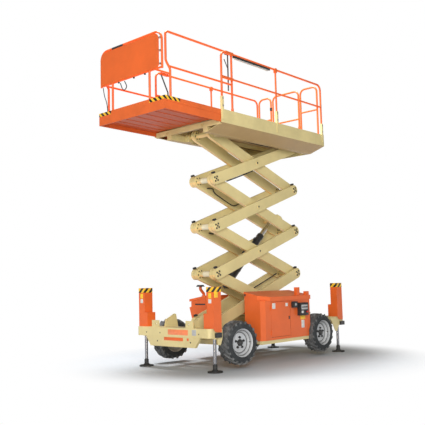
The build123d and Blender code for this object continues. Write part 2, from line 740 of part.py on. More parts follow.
def wheel_clearance(wall):
    """Side outline that keeps a cabinet clear of the rear wheel."""
    outline = [(CAB_FRONT_X, CAB_Z0), (WHEEL_CUT_X, CAB_Z0), (WHEEL_CUT_X, WHEEL_CUT_Z),
               (CAB_REAR_X, WHEEL_CUT_Z + 100), (CAB_REAR_X, HOOD_TOP_Z), (CAB_FRONT_X, HOOD_TOP_Z)]
    face = inset(outline, wall) if wall else make_face(Polyline(*outline, close=True))
    return Pos(0, TYRE_OUT_Y, 0) * Rot(90, 0, 0) * extrude(face, amount=TYRE_OUT_Y)


def shell_body(plan, section):
    """Closed box of thin walls with a plan outline and a cross-section."""
    solid = prism_z(plan, CAB_Z0, HOOD_TOP_Z) & prism_x(section, CAB_FRONT_X, CAB_REAR_X) & wheel_clearance(0)
    hollow = extrude(inset(plan, CAB_WALL), amount=HOOD_TOP_Z) & wheel_clearance(CAB_WALL)
    across = Plane.YZ * inset(section, CAB_WALL)
    return solid - (hollow & (Pos(CAB_FRONT_X, 0, 0) * extrude(across, amount=CAB_REAR_X - CAB_FRONT_X)))


def hood_shell():
    """Hollow near cabinet under its sloped lid, drawn on the far side."""
    plan = cut_corner(CAB_FRONT_X, CAB_REAR_X, CAB_IN_Y, CAB_OUT_Y, CAB_CORNER_X, CAB_CORNER_Y)
    section = [(CAB_IN_Y, CAB_Z0), (CAB_OUT_Y, CAB_Z0), (CAB_OUT_Y, LID_LOW_Z + 5),
               (CAB_IN_Y, LID_LOW_Z + LID_RISE + 5)]
    return shell_body(plan, section)


def hood_lid():
    """Sloped lid of the near cabinet with its stubs, drawn on the far side."""
    out_y = CAB_OUT_Y + LID_OVER
    plan = [(CAB_FRONT_X - LID_OVER, CAB_IN_Y), (CAB_FRONT_X - LID_OVER, CAB_OUT_Y - 2 * CAB_CORNER_Y),
            (LID_CORNER_X, out_y), (CAB_REAR_X + LID_OVER, out_y), (LID_BACK_X, CAB_IN_Y)]
    section = [(CAB_IN_Y, LID_LOW_Z + LID_RISE), (out_y, LID_LOW_Z), (out_y, LID_LOW_Z + LID_EDGE_T),
               (CAB_IN_Y, LID_LOW_Z + LID_RISE + LID_EDGE_T)]
    lid = prism_z(plan, CAB_Z0, HOOD_TOP_Z) & prism_x(section, CAB_FRONT_X - LID_OVER, CAB_REAR_X + LID_OVER)
    for x, top in LID_STUBS:
        lid += box(x, x + STUB_L, CAB_OUT_Y - STUB_W - 10, CAB_OUT_Y - 10, LID_LOW_Z + LID_EDGE_T, top)
    return lid


def hinge_levels():
    """Z limits of the door's two hinges."""
    return [(DOOR_Z0 + 60, DOOR_Z0 + 120), (DOOR_Z1 - 120, DOOR_Z1 - 60)]


def hinge_axis():
    """X and Y of the door's hinge line."""
    return DOOR_X0 - MOVE_GAP - 2, -CAB_OUT_Y - HINGE_R - 1


def near_cabinet():
    """Near cabinet with its door opening and hinge pins."""
    x, y = hinge_axis()
    shell = other_side(hood_shell() + hood_lid())
    gap = MOVE_GAP
    shell -= box(DOOR_X0 - gap, DOOR_X1 + gap, -CAB_OUT_Y - 5, -CAB_OUT_Y + 20, DOOR_Z0 - gap, DOOR_Z1 + gap)
    for z0, z1 in hinge_levels():
        shell += rod_z(x, y, z0 - 24, z0 - 0.5, HINGE_R)
        shell += box(x - 14, x, -CAB_OUT_Y - 12, -CAB_OUT_Y + 2, z0 - 24, z0 - 0.5)
        shell += rod_z(x, y, z0 - 2, z1, HINGE_PIN_R)
    return shell


def cabinet_door():
    """Service door with its hinge knuckles."""
    x, y = hinge_axis()
    door = box(DOOR_X0, DOOR_X1, -CAB_OUT_Y, -CAB_OUT_Y + DOOR_T, DOOR_Z0, DOOR_Z1)
    for z0, z1 in hinge_levels():
        door += rod_z(x, y, z0, z1, HINGE_R)
        door += box(x, x + 30, -CAB_OUT_Y - 6, -CAB_OUT_Y - 0.5, z0, z1)
        door += box(DOOR_X0, x + 30, -CAB_OUT_Y - 6, -CAB_OUT_Y + 1, z0, z1)
        door -= rod_z(x, y, z0 - 1, z1 + 1, HINGE_PIN_R + RUN_GAP)
    return door


def far_cabinet():
    """Far tank cabinet with its bulged side, front slot and overhanging lid."""
    plan = cut_corner(CAB_FRONT_X, CAB_REAR_X, CAB_IN_Y, TANK_BULGE_Y, 1, 1)
    section = [(CAB_IN_Y, CAB_Z0), (TANK_LOW_Y, CAB_Z0), (TANK_BULGE_Y, TANK_BULGE_Z),
               (TANK_TOP_Y, TANK_BULGE_Z + 14), (TANK_TOP_Y, LID_LOW_Z + 2),
               (CAB_IN_Y, LID_LOW_Z + TANK_LID_RISE + 2)]
    shell = shell_body(plan, section)
    slot = box(CAB_FRONT_X - 1, CAB_FRONT_X + SLOT_DEPTH, SLOT_Y0, SLOT_Y1, SLOT_Z0, SLOT_Z1)
    pocket = box(CAB_FRONT_X, CAB_FRONT_X + SLOT_DEPTH + CAB_WALL, SLOT_Y0 - CAB_WALL, SLOT_Y1 + CAB_WALL,
                 SLOT_Z0 - CAB_WALL, SLOT_Z1 + CAB_WALL)
    out_y = TANK_BULGE_Y - LID_OVER
    lid = [(CAB_IN_Y, LID_LOW_Z + TANK_LID_RISE), (out_y, LID_LOW_Z), (out_y, LID_LOW_Z + TANK_LID_T),
           (CAB_IN_Y, LID_LOW_Z + TANK_LID_RISE + TANK_LID_T)]
    return shell + pocket - slot + prism_x(lid, CAB_FRONT_X - LID_OVER, CAB_REAR_X + LID_OVER)


def lid_z(y):
    """Height of the far cabinet's lid at a distance across the machine."""
    share = (TANK_BULGE_Y - LID_OVER - y) / (TANK_BULGE_Y - LID_OVER - CAB_IN_Y)
    return LID_LOW_Z + TANK_LID_T + share * TANK_LID_RISE


def filler_neck():
    """Bent filler pipe with a wide cap."""
    foot = lid_z(NECK_Y) + 8
    cap = CAP_TOP_Z - CAP_T_FILLER
    neck = pipe([(NECK_X, NECK_Y, foot), (NECK_X, NECK_Y, foot + 45), (NECK_X - NECK_LEAN, NECK_Y, cap - 50),
                 (NECK_X - NECK_LEAN, NECK_Y, cap + 2)], NECK_R, 30)
    neck += rod_z(NECK_X, NECK_Y, foot, foot + 14, NECK_R + 16)
    dome = Cone(CAP_R_FILLER, CAP_R_FILLER - 22, CAP_T_FILLER)
    return neck + Pos(NECK_X - NECK_LEAN, NECK_Y, cap + CAP_T_FILLER / 2) * dome


def engine_block():
    """Plain block inside the near cabinet."""
    return box(-300, 190, -800, -530, CAB_Z0 + CAB_WALL, 1000)


def control_boxes():
    """Ground control box and the small box beside it."""
    front = -CAB_OUT_Y - 70
    boxes = box(458, 718, front, -CAB_OUT_Y, 791, 1024)
    return boxes + box(271, 405, -CAB_OUT_Y - 50, -CAB_OUT_Y, 942, 1054)


# Platform


def platform_channel():
    """Beam and roller channel under the main deck."""
    low = TOP_PIN_Z - ROLLER_R - SEAT_GAP
    high = TOP_PIN_Z + ROLLER_R + SEAT_GAP
    beam = box(DECK_X0, TRACK_X0 + 10, CHANNEL_Y0, CHANNEL_Y1, CHANNEL_Z0, LOW_BEAM_Z1)
    beam += box(TRACK_X0, DECK_X1, CHANNEL_Y1 - 12, CHANNEL_Y1, CHANNEL_Z0, CHANNEL_Z1)
    beam += box(TRACK_X0, DECK_X1, CHANNEL_Y0, CHANNEL_Y1, CHANNEL_Z0, low)
    beam += box(TRACK_X0, DECK_X1, CHANNEL_Y0, CHANNEL_Y1, high, CHANNEL_Z1)
    beam += box(POCKET_X1 + 10, DECK_X1, CHANNEL_Y0, CHANNEL_Y1, CHANNEL_Z1 - 2, FLOOR_Z0 + 2)
    beam += box(POCKET_X1 + 10, TRACK_X0 + 10, CHANNEL_Y0, CHANNEL_Y1, LOW_BEAM_Z1 - 2, CHANNEL_Z1)
    return beam


def platform_lug():
    """Boss for the top front shaft."""
    boss = rod_y(PIN_FRONT_X, TOP_PIN_Z, LUG_Y0 + 5, CHANNEL_Y0 - 4, 62)
    foot = box(PIN_FRONT_X - 62, PIN_FRONT_X + 62, LUG_Y0 + 5, CHANNEL_Y0 + 5, CHANNEL_Z0, TOP_PIN_Z)
    return boss + foot - rod_y(PIN_FRONT_X, TOP_PIN_Z, LUG_Y0, CHANNEL_Y0 - 4.5, PIN_R + RUN_GAP)


def soffit():
    """Sloped sheet between a channel's foot and the deck's side."""
    inner = CHANNEL_Y1 - 5
    return prism_x([(inner, CHANNEL_Z0), (DECK_OUT_Y, FASCIA_Z0), (DECK_OUT_Y, FASCIA_Z0 + SOFFIT_T),
                    (inner, CHANNEL_Z0 + SOFFIT_T)], DECK_X0, DECK_X1)


def socket(x):
    """Square rail socket on the deck's side, bored for the rail's post."""
    y0 = RAIL_Y - SOCKET_HALF
    post = box(x - SOCKET_HALF, x + SOCKET_HALF, y0, y0 + 2 * SOCKET_HALF, FASCIA_Z1, SOCKET_TOP_Z)
    post += box(x - SOCKET_HALF, x + SOCKET_HALF, DECK_OUT_Y - 2, DECK_OUT_Y + STRIP_T, STRIP_Z0, FASCIA_Z1 + 30)
    return post - rod_z(x, RAIL_Y, SOCKET_TOP_Z - SOCKET_DEPTH, SOCKET_TOP_Z + 1, RAIL_R + SEAT_GAP)


def front_cross_beam():
    """Beam across the deck's front, with the slide holes."""
    beam = box(DECK_X0, CROSS_X1, -CROSS_HALF_Y, CROSS_HALF_Y, CROSS_Z0, CROSS_Z1)
    for y in CROSS_HOLES_Y:
        beam -= Pos(DECK_X0 + 8, y, CROSS_Z0 + 45) * Box(18, 70, 40)
    return beam


def main_deck():
    """Main deck: floor, sides, beams, roller channels and rail sockets."""
    side = box(DECK_X0, DECK_X1, DECK_OUT_Y - DECK_SIDE_T, DECK_OUT_Y, FASCIA_Z0, FASCIA_Z1)
    side += soffit() + platform_channel() + platform_lug()
    for x in (RAIL_X0, RAIL_SPLIT_X, RAIL_X1):
        side += socket(x)
    deck = both_sides(side) + front_cross_beam()
    deck += box(DECK_X0, DECK_X1, -FLOOR_IN_Y, FLOOR_IN_Y, FLOOR_Z0, FLOOR_Z1)
    deck += box(FLOOR_WIDE_X, DECK_X1, -DECK_OUT_Y + 5, DECK_OUT_Y - 5, FLOOR_Z0, FLOOR_Z1)
    end = [(-DECK_OUT_Y, FASCIA_Z1), (-DECK_OUT_Y, FASCIA_Z0), (-CHANNEL_Y1, CHANNEL_Z0),
           (CHANNEL_Y1, CHANNEL_Z0), (DECK_OUT_Y, FASCIA_Z0), (DECK_OUT_Y, FASCIA_Z1)]
    return deck + prism_x(end, DECK_X1 - END_T, DECK_X1)


def rail_bracket(x0, x1, half_y, z_mid, half_z):
    """Flat bracket round a rail."""
    return box(x0, x1, RAIL_Y - half_y, RAIL_Y + half_y, z_mid - half_z, z_mid + half_z)


def main_side_rail():
    """Far-side guard rail of the main deck, seated in its sockets."""
    foot = SOCKET_TOP_Z - SOCKET_DEPTH
    rail = pipe([(RAIL_X0, RAIL_Y, foot), (RAIL_X0, RAIL_Y, TOP_RAIL_Z),
                 (RAIL_X1, RAIL_Y, TOP_RAIL_Z), (RAIL_X1, RAIL_Y, foot)], bend=RAIL_BEND)
    rail += pipe([(RAIL_X0, RAIL_Y, MID_RAIL_Z), (RAIL_X1, RAIL_Y, MID_RAIL_Z)], MID_RAIL_R)
    rail += pipe([(RAIL_SPLIT_X, RAIL_Y, foot), (RAIL_SPLIT_X, RAIL_Y, TOP_RAIL_Z)], MID_RAIL_R)
    rail += rail_bracket(RAIL_X0 + RAIL_BEND, RAIL_X0 + BRACKET_L, RAIL_R + 1, TOP_RAIL_Z, RAIL_R + 5)
    return rail + rail_bracket(RAIL_X0, RAIL_X0 + BRACKET_L, RAIL_R - 5, MID_RAIL_Z, RAIL_R + 3)


def rail_loop(y0, y1):
    """Upright loop across the rear end."""
    loop = pipe([(LOOP_X, y0, FLOOR_Z1), (LOOP_X, y0, TOP_RAIL_Z), (LOOP_X, y1, TOP_RAIL_Z),
                 (LOOP_X, y1, FLOOR_Z1)])
    return loop + pipe([(LOOP_X, y0, LOOP_MID_Z), (LOOP_X, y1, LOOP_MID_Z)], MID_RAIL_R)


def gate_collar(z):
    """Collar in which the gate's post turns."""
    x, y = LOOP_X, GATE_Y0
    ring = rod_z(x, y, z, z + 30, RAIL_R + 9)
    ring += box(x - 10, x + 10, LOOP_NEAR_IN_Y, y, z, z + 30)
    return ring - rod_z(x, y, z - 1, z + 31, RAIL_R + RUN_GAP)


def rear_rails():
    """Two fixed loops beside the gate, with the gate's collars."""
    near = rail_loop(LOOP_NEAR_IN_Y, -LOOP_OUT_Y)
    near += gate_collar(SOCKET_TOP_Z) + gate_collar(COLLAR_TOP_Z)
    return rail_loop(LOOP_FAR_IN_Y, LOOP_OUT_Y) + near


def gate():
    """Entry gate that swings in over the deck."""
    x, y, end = LOOP_X, GATE_Y0, GATE_Y1
    low = FASCIA_Z1 + GATE_LIFT
    loop = pipe([(x, y, low), (x, y, TOP_RAIL_Z), (x, end, TOP_RAIL_Z), (x, end, low)])
    loop += pipe([(x, y, GATE_MID_Z), (x, end, GATE_MID_Z)], MID_RAIL_R)
    return loop + pipe([(x, y, low), (x, end, low)], MID_RAIL_R)


# Extension


def extension_deck():
    """Roll-out deck that wraps the main floor."""
    y0 = EXT_OUT_Y - EXT_SIDE_T
    side = box(EXT_X0, EXT_X1, y0, EXT_OUT_Y - EXT_STEP_T, EXT_Z0, EXT_Z1)
    side += box(EXT_X0, EXT_X1, y0, EXT_OUT_Y, EXT_STEP_Z, EXT_Z1)
    for y in EXT_RIBS_Y:
        side += box(EXT_X0 + 10, EXT_UNDER_X1, y - 6, y + 6, EXT_RIB_Z0, EXT_UNDER_Z0 + 1)
    deck = both_sides(side)
    deck += box(EXT_X0, EXT_X0 + EXT_SIDE_T, -EXT_OUT_Y, EXT_OUT_Y, EXT_Z0, EXT_Z1)
    deck += box(EXT_X0 + 5, EXT_X1, -y0 - 5, y0 + 5, EXT_FLOOR_Z0, EXT_FLOOR_Z1)
    deck += box(EXT_X0 + 5, EXT_UNDER_X1, -y0 - 5, y0 + 5, EXT_UNDER_Z0, EXT_UNDER_Z1)
    pad = box(EXT_X1 - 120, EXT_X1, 600, FLOOR_IN_Y - 10, FLOOR_Z1 + SEAT_GAP, EXT_FLOOR_Z0 + 1)
    return deck + both_sides(pad)


def extension_side_rail():
    """Far-side guard rail of the extension."""
    y = EXT_RAIL_Y
    rear = EXT_X1 + 30
    rail = pipe([(EXT_POST_X, y, EXT_FLOOR_Z1), (EXT_POST_X, y, KNEE_LOW_Z), (EXT_NOSE_X, y, KNEE_HIGH_Z),
                 (EXT_NOSE_X, y, EXT_TOP_Z), (rear, y, EXT_TOP_Z), (rear, y, EXT_FLOOR_Z1)], bend=60)
    rail += pipe([(EXT_POST_X - 4, y, EXT_MID_Z), (rear, y, EXT_MID_Z)], MID_RAIL_R)
    return rail + rod_z(rear, y, EXT_Z1 + 16, EXT_Z1 + 78, EXT_FOOT_R)


def front_rail():
    """Front guard rail with its posts on the extension's front."""
    x, y, low = FRAME_X, FRAME_HALF_Y, FRAME_LOW_Z
    foot = low - RAIL_R
    frame = pipe([(x, -y, foot), (x, -y, EXT_TOP_Z), (x, y, EXT_TOP_Z), (x, y, foot)], bend=FRAME_BEND)
    frame += pipe([(x, -y, low), (x, y, low)], MID_RAIL_R)
    for post_y in (-FRAME_POST_Y, FRAME_POST_Y):
        frame += pipe([(x, post_y, EXT_Z1), (x, post_y, low + RAIL_R)])
    return frame


def front_panel():
    """Sheet panel on the front rail."""
    x = PANEL_FRONT_X
    panel = box(x, x + PANEL_T, PANEL_Y0, PANEL_Y1, FRAME_LOW_Z, EXT_TOP_Z - 30)
    edges = panel.edges().filter_by(Axis.X).group_by(Axis.Z)
    panel = fillet(edges[-1], PANEL_TOP_R)
    edges = panel.edges().filter_by(Axis.X).group_by(Axis.Z)
    return fillet(edges[0], PANEL_LOW_R)


def nodes():
    """Every node's name and shape."""
    table = {
        "chassis_frame": chassis_frame(),
        "front_beam": front_beam(),
        "rear_beam": rear_beam(),
        "leg_covers": leg_covers(),
        "near_cabinet": near_cabinet(),
        "far_cabinet": far_cabinet(),
        "filler_neck": filler_neck(),
        "engine_block": engine_block(),
        "control_boxes": control_boxes(),
        "front_axle": front_axle(),
        "rear_axle": rear_axle(),
        "cabinet_door": cabinet_door(),
        "knuckle_near": knuckle(-1),
        "knuckle_far": knuckle(1),
        "leg_front_near": leg(LEG_FRONT_X, -1),
        "leg_front_far": leg(LEG_FRONT_X, 1),
        "leg_rear_near": leg(LEG_REAR_X, -1),
        "leg_rear_far": leg(LEG_REAR_X, 1),
        "lift_barrel": lift_barrel(),
        "lift_stage": lift_stage(),
        "lift_rod": lift_rod(),
        "main_deck": main_deck(),
        "main_rail_far": main_side_rail(),
        "main_rail_near": other_side(main_side_rail()),
        "rear_rails": rear_rails(),
        "gate": gate(),
        "extension_deck": extension_deck(),
        "extension_rail_far": extension_side_rail(),
        "extension_rail_near": other_side(extension_side_rail()),
        "front_rail": front_rail(),
        "front_panel": front_panel(),
    }
    for stage in range(1, STAGES + 1):
        table[f"outer_arms_{stage}"] = outer_arms(stage)
        table[f"inner_arms_{stage}"] = inner_arms(stage)
    table.update(wheel_nodes())
    return table


def main():
    """Write every node in the row's frame."""
    os.makedirs("parts", exist_ok=True)
    for name, shape in nodes().items():
        moved = Pos(-CENTRE_X, 0, 0) * shape
        export_step(moved, f"parts/{name}.step")
        print(name, len(moved.solids()))


if __name__ == "__main__":
    main()
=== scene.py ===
"""Finishes and fittings of a rough-terrain scissor lift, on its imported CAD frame.

Everything is in metres in the row frame: -X is the front, +Z is up and the near side is -Y.
"""

import logging
import math
from dataclasses import dataclass, field
from enum import Enum
from typing import Iterable, Optional, Sequence, Union

import bmesh
import bpy
from mathutils import Matrix, Vector


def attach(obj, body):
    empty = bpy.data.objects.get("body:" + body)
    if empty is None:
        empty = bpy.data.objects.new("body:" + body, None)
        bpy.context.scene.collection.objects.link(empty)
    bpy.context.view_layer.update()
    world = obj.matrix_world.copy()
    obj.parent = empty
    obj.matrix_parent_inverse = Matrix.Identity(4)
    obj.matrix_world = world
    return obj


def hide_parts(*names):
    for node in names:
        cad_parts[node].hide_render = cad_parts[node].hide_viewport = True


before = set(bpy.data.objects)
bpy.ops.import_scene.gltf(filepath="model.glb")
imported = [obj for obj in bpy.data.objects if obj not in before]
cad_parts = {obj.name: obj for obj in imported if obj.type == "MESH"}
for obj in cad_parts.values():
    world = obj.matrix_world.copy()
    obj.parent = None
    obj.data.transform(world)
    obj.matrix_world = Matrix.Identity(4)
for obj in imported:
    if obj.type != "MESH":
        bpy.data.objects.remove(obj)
LOG = logging.getLogger("scissor_lift")

Point = tuple[float, float, float]
Colour = tuple[float, float, float]

# What a shader sum and a mix of colours take
Term = Union["Wire", float]
Tint = Union[Colour, bpy.types.NodeSocket]

# Colours that more than one finish uses, and the studio's white
CREAM: Colour = (0.77, 0.65, 0.315)
DECK_ORANGE: Colour = (0.80, 0.145, 0.026)
INK: Colour = (0.02, 0.02, 0.022)
WHITE: Colour = (1.0, 1.0, 1.0)

# Numbers of a Mix node's colour sockets: factor, first and second colour, and result
MIX_FACTOR, MIX_FIRST, MIX_SECOND, MIX_RESULT = 0, 6, 7, 2

# Edges bent by more than this angle are bevelled, and shaded as creases
SHARP_ANGLE = 0.6

# Segments of a bevel, and the distance within which vertices are merged
BEVEL_SEGMENTS, MERGE_DISTANCE = 2, 0.00001

# Height of a nut's washer, the washer's radius and the nut's chamfer, as shares of the nut's
# height, width and height
WASHER_HEIGHT, WASHER_RADIUS, NUT_CHAMFER = 0.2, 0.62, 0.12

# Steps between a hose's control points, its roundness, and the angle up to which it is shaded smooth
HOSE_STEPS, HOSE_ROUNDING, HOSE_SMOOTH = 6, 2, 0.9

# Thickness and edge radius of a blank plate
PLATE_SKIN, PLATE_EDGE = 0.0014, 0.0005


# Shader building


class Wire:
    """A node output, or a plain number, that shader sums can be written with.

    Args:
        tree: The material's node tree.
        value: An output socket or a number.
    """

    def __init__(self, tree: bpy.types.NodeTree, value: Union[bpy.types.NodeSocket, float]) -> None:
        """Keeps the tree and the value."""
        self.tree = tree
        self.value = value

    def _math(self, operation: str, *others: Term) -> "Wire":
        """A Math node of this value and the others.

        Args:
            operation: The node's operation.
            others: Its further inputs.

        Returns:
            The node's output.
        """
        node = self.tree.nodes.new("ShaderNodeMath")
        node.operation = operation
        for socket, item in zip(node.inputs, (self, *others)):
            raw = item.value if isinstance(item, Wire) else item
            if isinstance(raw, bpy.types.NodeSocket):
                self.tree.links.new(raw, socket)
            else:
                socket.default_value = raw
        return Wire(self.tree, node.outputs[0])

    def __add__(self, other: Term) -> "Wire":
        """Sum."""
        return self._math("ADD", other)

    __radd__ = __add__

    def __sub__(self, other: Term) -> "Wire":
        """Difference."""
        return self._math("SUBTRACT", other)

    def __rsub__(self, other: float) -> "Wire":
        """Difference from a number."""
        return Wire(self.tree, other)._math("SUBTRACT", self)

    def __mul__(self, other: Term) -> "Wire":
        """Product."""
        return self._math("MULTIPLY", other)

    __rmul__ = __mul__

    def __truediv__(self, other: Term) -> "Wire":
        """Quotient."""
        return self._math("DIVIDE", other)

    def __pow__(self, other: float) -> "Wire":
        """Power."""
        return self._math("POWER", other)

    def __mod__(self, other: float) -> "Wire":
        """Remainder that stays positive."""
        return self._math("FLOORED_MODULO", other)

    def __gt__(self, other: Term) -> "Wire":
        """1 where this is the larger."""
        return self._math("GREATER_THAN", other)

    def __lt__(self, other: Term) -> "Wire":
        """1 where this is the smaller."""
        return self._math("LESS_THAN", other)

    def __abs__(self) -> "Wire":
        """Size without its sign."""
        return self._math("ABSOLUTE")

    def clamp(self) -> "Wire":
        """The value held between 0 and 1."""
        return self._math("MINIMUM", 1.0)._math("MAXIMUM", 0.0)

    def ease(self, low: float, high: float) -> "Wire":
        """Smooth rise from 0 at low to 1 at high.

        Args:
            low: Where the rise starts.
            high: Where it ends.

        Returns:
            The eased value.
        """
        part = ((self - low) / (high - low)).clamp()
        return part * part * (3.0 - 2.0 * part)


class Shader:
    """Node tree of one material, with the calls that its finishes need.

    Args:
        name: The material's name.
    """

    def __init__(self, name: str) -> None:
        """Starts the material and its coordinates."""
        self.material = bpy.data.materials.new(name)
        self.material.use_nodes = True
        self.tree = self.material.node_tree
        self.surface = self.tree.nodes["Principled BSDF"]
        coordinates = self.tree.nodes.new("ShaderNodeTexCoord")
        self.place = coordinates.outputs["Object"]

    def node(self, kind: str, settings: Optional[dict] = None,
             inputs: Optional[dict] = None) -> bpy.types.Node:
        """Adds any other node.

        Args:
            kind: The node's type name without its ShaderNode prefix.
            settings: Attributes to set first.
            inputs: Values or links of its sockets, by name or number.

        Returns:
            The new node.
        """
        node = self.tree.nodes.new("ShaderNode" + kind)
        for key, value in (settings or {}).items():
            setattr(node, key, value)
        for key, value in (inputs or {}).items():
            raw = value.value if isinstance(value, Wire) else value
            if isinstance(raw, bpy.types.NodeSocket):
                self.tree.links.new(raw, node.inputs[key])
            else:
                node.inputs[key].default_value = raw
        return node

    def wire(self, socket: bpy.types.NodeSocket) -> Wire:
        """Wraps a socket for shader sums."""
        return Wire(self.tree, socket)

    def axes(self) -> tuple[Wire, Wire, Wire]:
        """X, Y and Z of the surface point in the row frame."""
        split = self.node("SeparateXYZ", inputs={0: self.place})
        return tuple(self.wire(split.outputs[i]) for i in range(3))

    def facing(self) -> tuple[Wire, Wire, Wire]:
        """X, Y and Z of the surface's outward direction."""
        geometry = self.node("NewGeometry")
        split = self.node("SeparateXYZ", inputs={0: geometry.outputs["Normal"]})
        return tuple(self.wire(split.outputs[i]) for i in range(3))

    def noise(self, scale: float, detail: float = 3.0, rough: float = 0.55) -> Wire:
        """Cloudy noise over the piece.

        Args:
            scale: Number of clouds to the metre.
            detail: Octaves.
            rough: Share that each octave keeps.

        Returns:
            The noise, about 0 to 1.
        """
        node = self.node("TexNoise", inputs={"Vector": self.place, "Scale": scale, "Detail": detail,
                                             "Roughness": rough})
        return self.wire(node.outputs[0])

    def blend(self, factor: Wire, first: Tint, second: Tint) -> bpy.types.NodeSocket:
        """Mix of two colours.

        Args:
            factor: Share of the second colour.
            first: Colour or socket at factor 0.
            second: Colour or socket at factor 1.

        Returns:
            The mixed colour's socket.
        """
        ends = [(*c, 1.0) if isinstance(c, tuple) else c for c in (first, second)]
        node = self.node("Mix", {"data_type": "RGBA"},
                         {MIX_FACTOR: factor, MIX_FIRST: ends[0], MIX_SECOND: ends[1]})
        return node.outputs[MIX_RESULT]

    def feed(self, socket: str, value: Union[Wire, bpy.types.NodeSocket, float, Colour]) -> None:
        """Sets or links one of the surface's sockets.

        Args:
            socket: The socket's name.
            value: A wire, socket, number or colour.
        """
        raw = value.value if isinstance(value, Wire) else value
        if isinstance(raw, bpy.types.NodeSocket):
            self.tree.links.new(raw, self.surface.inputs[socket])
        elif isinstance(raw, tuple):
            self.surface.inputs[socket].default_value = (*raw, 1.0)
        else:
            self.surface.inputs[socket].default_value = raw

    def bump(self, height: Wire, distance: float, strength: float = 1.0) -> None:
        """Raises the surface's normal by a height map.

        Args:
            height: The map, about 0 to 1.
            distance: Height of 1 in metres.
            strength: Share of the effect.
        """
        node = self.node("Bump", inputs={"Strength": strength, "Distance": distance, "Height": height})
        self.feed("Normal", node.outputs[0])


# Finishes


def darker(colour: Colour, share: float) -> Colour:
    """The colour times a share."""
    return tuple(c * share for c in colour)


class Steel(Enum):
    """Kinds of bright metal on the lift: colour and roughness."""

    HARD_CHROME = ((0.78, 0.79, 0.81), 0.12)
    ZINC = ((0.55, 0.55, 0.53), 0.38)


@dataclass(frozen=True)
class Zone:
    """Part of a piece, past a limit, that has another colour.

    Args:
        axis: 0, 1 or 2 for X, Y or Z.
        limit: Distance from the row frame's origin along the axis where the zone starts.
        colour: The zone's colour.
    """

    axis: int
    limit: float
    colour: Colour

    def mask(self, shader: Shader) -> Wire:
        """1 inside the zone."""
        return abs(shader.axes()[self.axis]) > self.limit


@dataclass(frozen=True)
class Paint:
    """Sprayed machine paint with orange peel, dust, faint cloudiness and painted warm light on the faces
    that look down.

    Args:
        name: The material's name.
        colour: Paint colour.
        dust: Colour of the dirt that settles low down.
        dust_share: Most that the dirt covers.
        gloss: Roughness of clean paint.
        coat: Weight of the clear coat.
        painted_underlight: Share of the painted warm light on the faces that look down.
        zones: Parts with another colour.
        shade: Share of the colour that is left in its darker clouds.
        painted_underlight_shares: Shares of red, green and blue in the painted warm light on an underside.
        painted_underlight_cap: Most of any colour in the painted warm light on an underside.
        dirt_base: Height up to which the dirt is at its most.
        dirt_top: Height from which only specks of it are left.
        peel_scale: Number of the orange peel's bumps to the metre.
        peel_height: Height of the orange peel.
    """

    name: str
    colour: Colour
    dust: Colour = (0.42, 0.36, 0.28)
    dust_share: float = 0.15
    gloss: float = 0.36
    coat: float = 0.25
    painted_underlight: float = 0.0
    zones: tuple[Zone, ...] = ()
    shade: float = 0.86
    painted_underlight_shares: Colour = (1.22, 0.92, 0.78)
    painted_underlight_cap: float = 0.92
    dirt_base: float = 0.15
    dirt_top: float = 1.3
    peel_scale: float = 420.0
    peel_height: float = 0.00012

    def make(self) -> bpy.types.Material:
        """Builds the material."""
        shader = Shader(self.name)
        clouds = shader.noise(1.7, 4.0, 0.6)
        specks = shader.noise(38.0, 3.0, 0.6)
        base = shader.blend(clouds.ease(0.3, 0.75), darker(self.colour, self.shade), self.colour)
        # Painted light: faces that look down get a warmer colour, standing in for warm light bounced up
        # onto them
        warm = tuple(min(self.painted_underlight_cap, c * share) for c, share in zip(self.colour, self.painted_underlight_shares))
        under = shader.facing()[2] < -0.2
        base = shader.blend(under * self.painted_underlight, base, warm)
        low = 1.0 - shader.axes()[2].ease(self.dirt_base, self.dirt_top)
        grime = (low * specks.ease(0.35, 0.75) + 0.25 * specks.ease(0.6, 0.8)) * self.dust_share
        colour = shader.blend(grime, base, self.dust)
        for zone in self.zones:
            colour = shader.blend(zone.mask(shader), colour, zone.colour)
        shader.feed("Base Color", colour)
        shader.feed("Roughness", self.gloss + 0.14 * clouds + 0.35 * grime)
        shader.feed("Coat Weight", self.coat)
        shader.feed("Coat Roughness", 0.12)
        shader.bump(shader.noise(self.peel_scale, 1.0), self.peel_height, 0.35)
        return shader.material


@dataclass(frozen=True)
class Bright:
    """Bright metal with faint clouds and a fine grain.

    Args:
        name: The material's name.
        kind: Which metal.
    """

    name: str
    kind: Steel

    def make(self) -> bpy.types.Material:
        """Builds the material."""
        colour, rough = self.kind.value
        shader = Shader(self.name)
        clouds = shader.noise(6.0, 4.0)
        grain = shader.noise(160.0, 2.0)
        shader.feed("Base Color", shader.blend(clouds.ease(0.3, 0.8), colour, darker(colour, 0.82)))
        shader.feed("Metallic", 1.0)
        shader.feed("Roughness", rough + 0.1 * grain * clouds)
        shader.bump(grain, 0.0001, 0.3)
        return shader.material


@dataclass(frozen=True)
class Plunger:
    """Chromed outrigger leg on a black foot.

    Args:
        name: The material's name.
        foot_top: Height where the chrome starts.
        foot: Colour of the foot.
        scuffs: Colour of the scuffs on the foot.
        chrome: Colour of the leg.
    """

    name: str
    foot_top: float = 0.135
    foot: Colour = (0.02, 0.021, 0.023)
    scuffs: Colour = (0.15, 0.14, 0.12)
    chrome: Colour = (0.29, 0.29, 0.31)

    def make(self) -> bpy.types.Material:
        """Builds the material."""
        shader = Shader(self.name)
        clouds = shader.noise(9.0, 4.0)
        chromed = shader.axes()[2] > self.foot_top
        foot = shader.blend(clouds.ease(0.45, 0.8) * 0.3, self.foot, self.scuffs)
        shader.feed("Base Color", shader.blend(chromed, foot, self.chrome))
        shader.feed("Metallic", chromed)
        shader.feed("Roughness", 0.5 + 0.15 * clouds - 0.36 * chromed)
        return shader.material


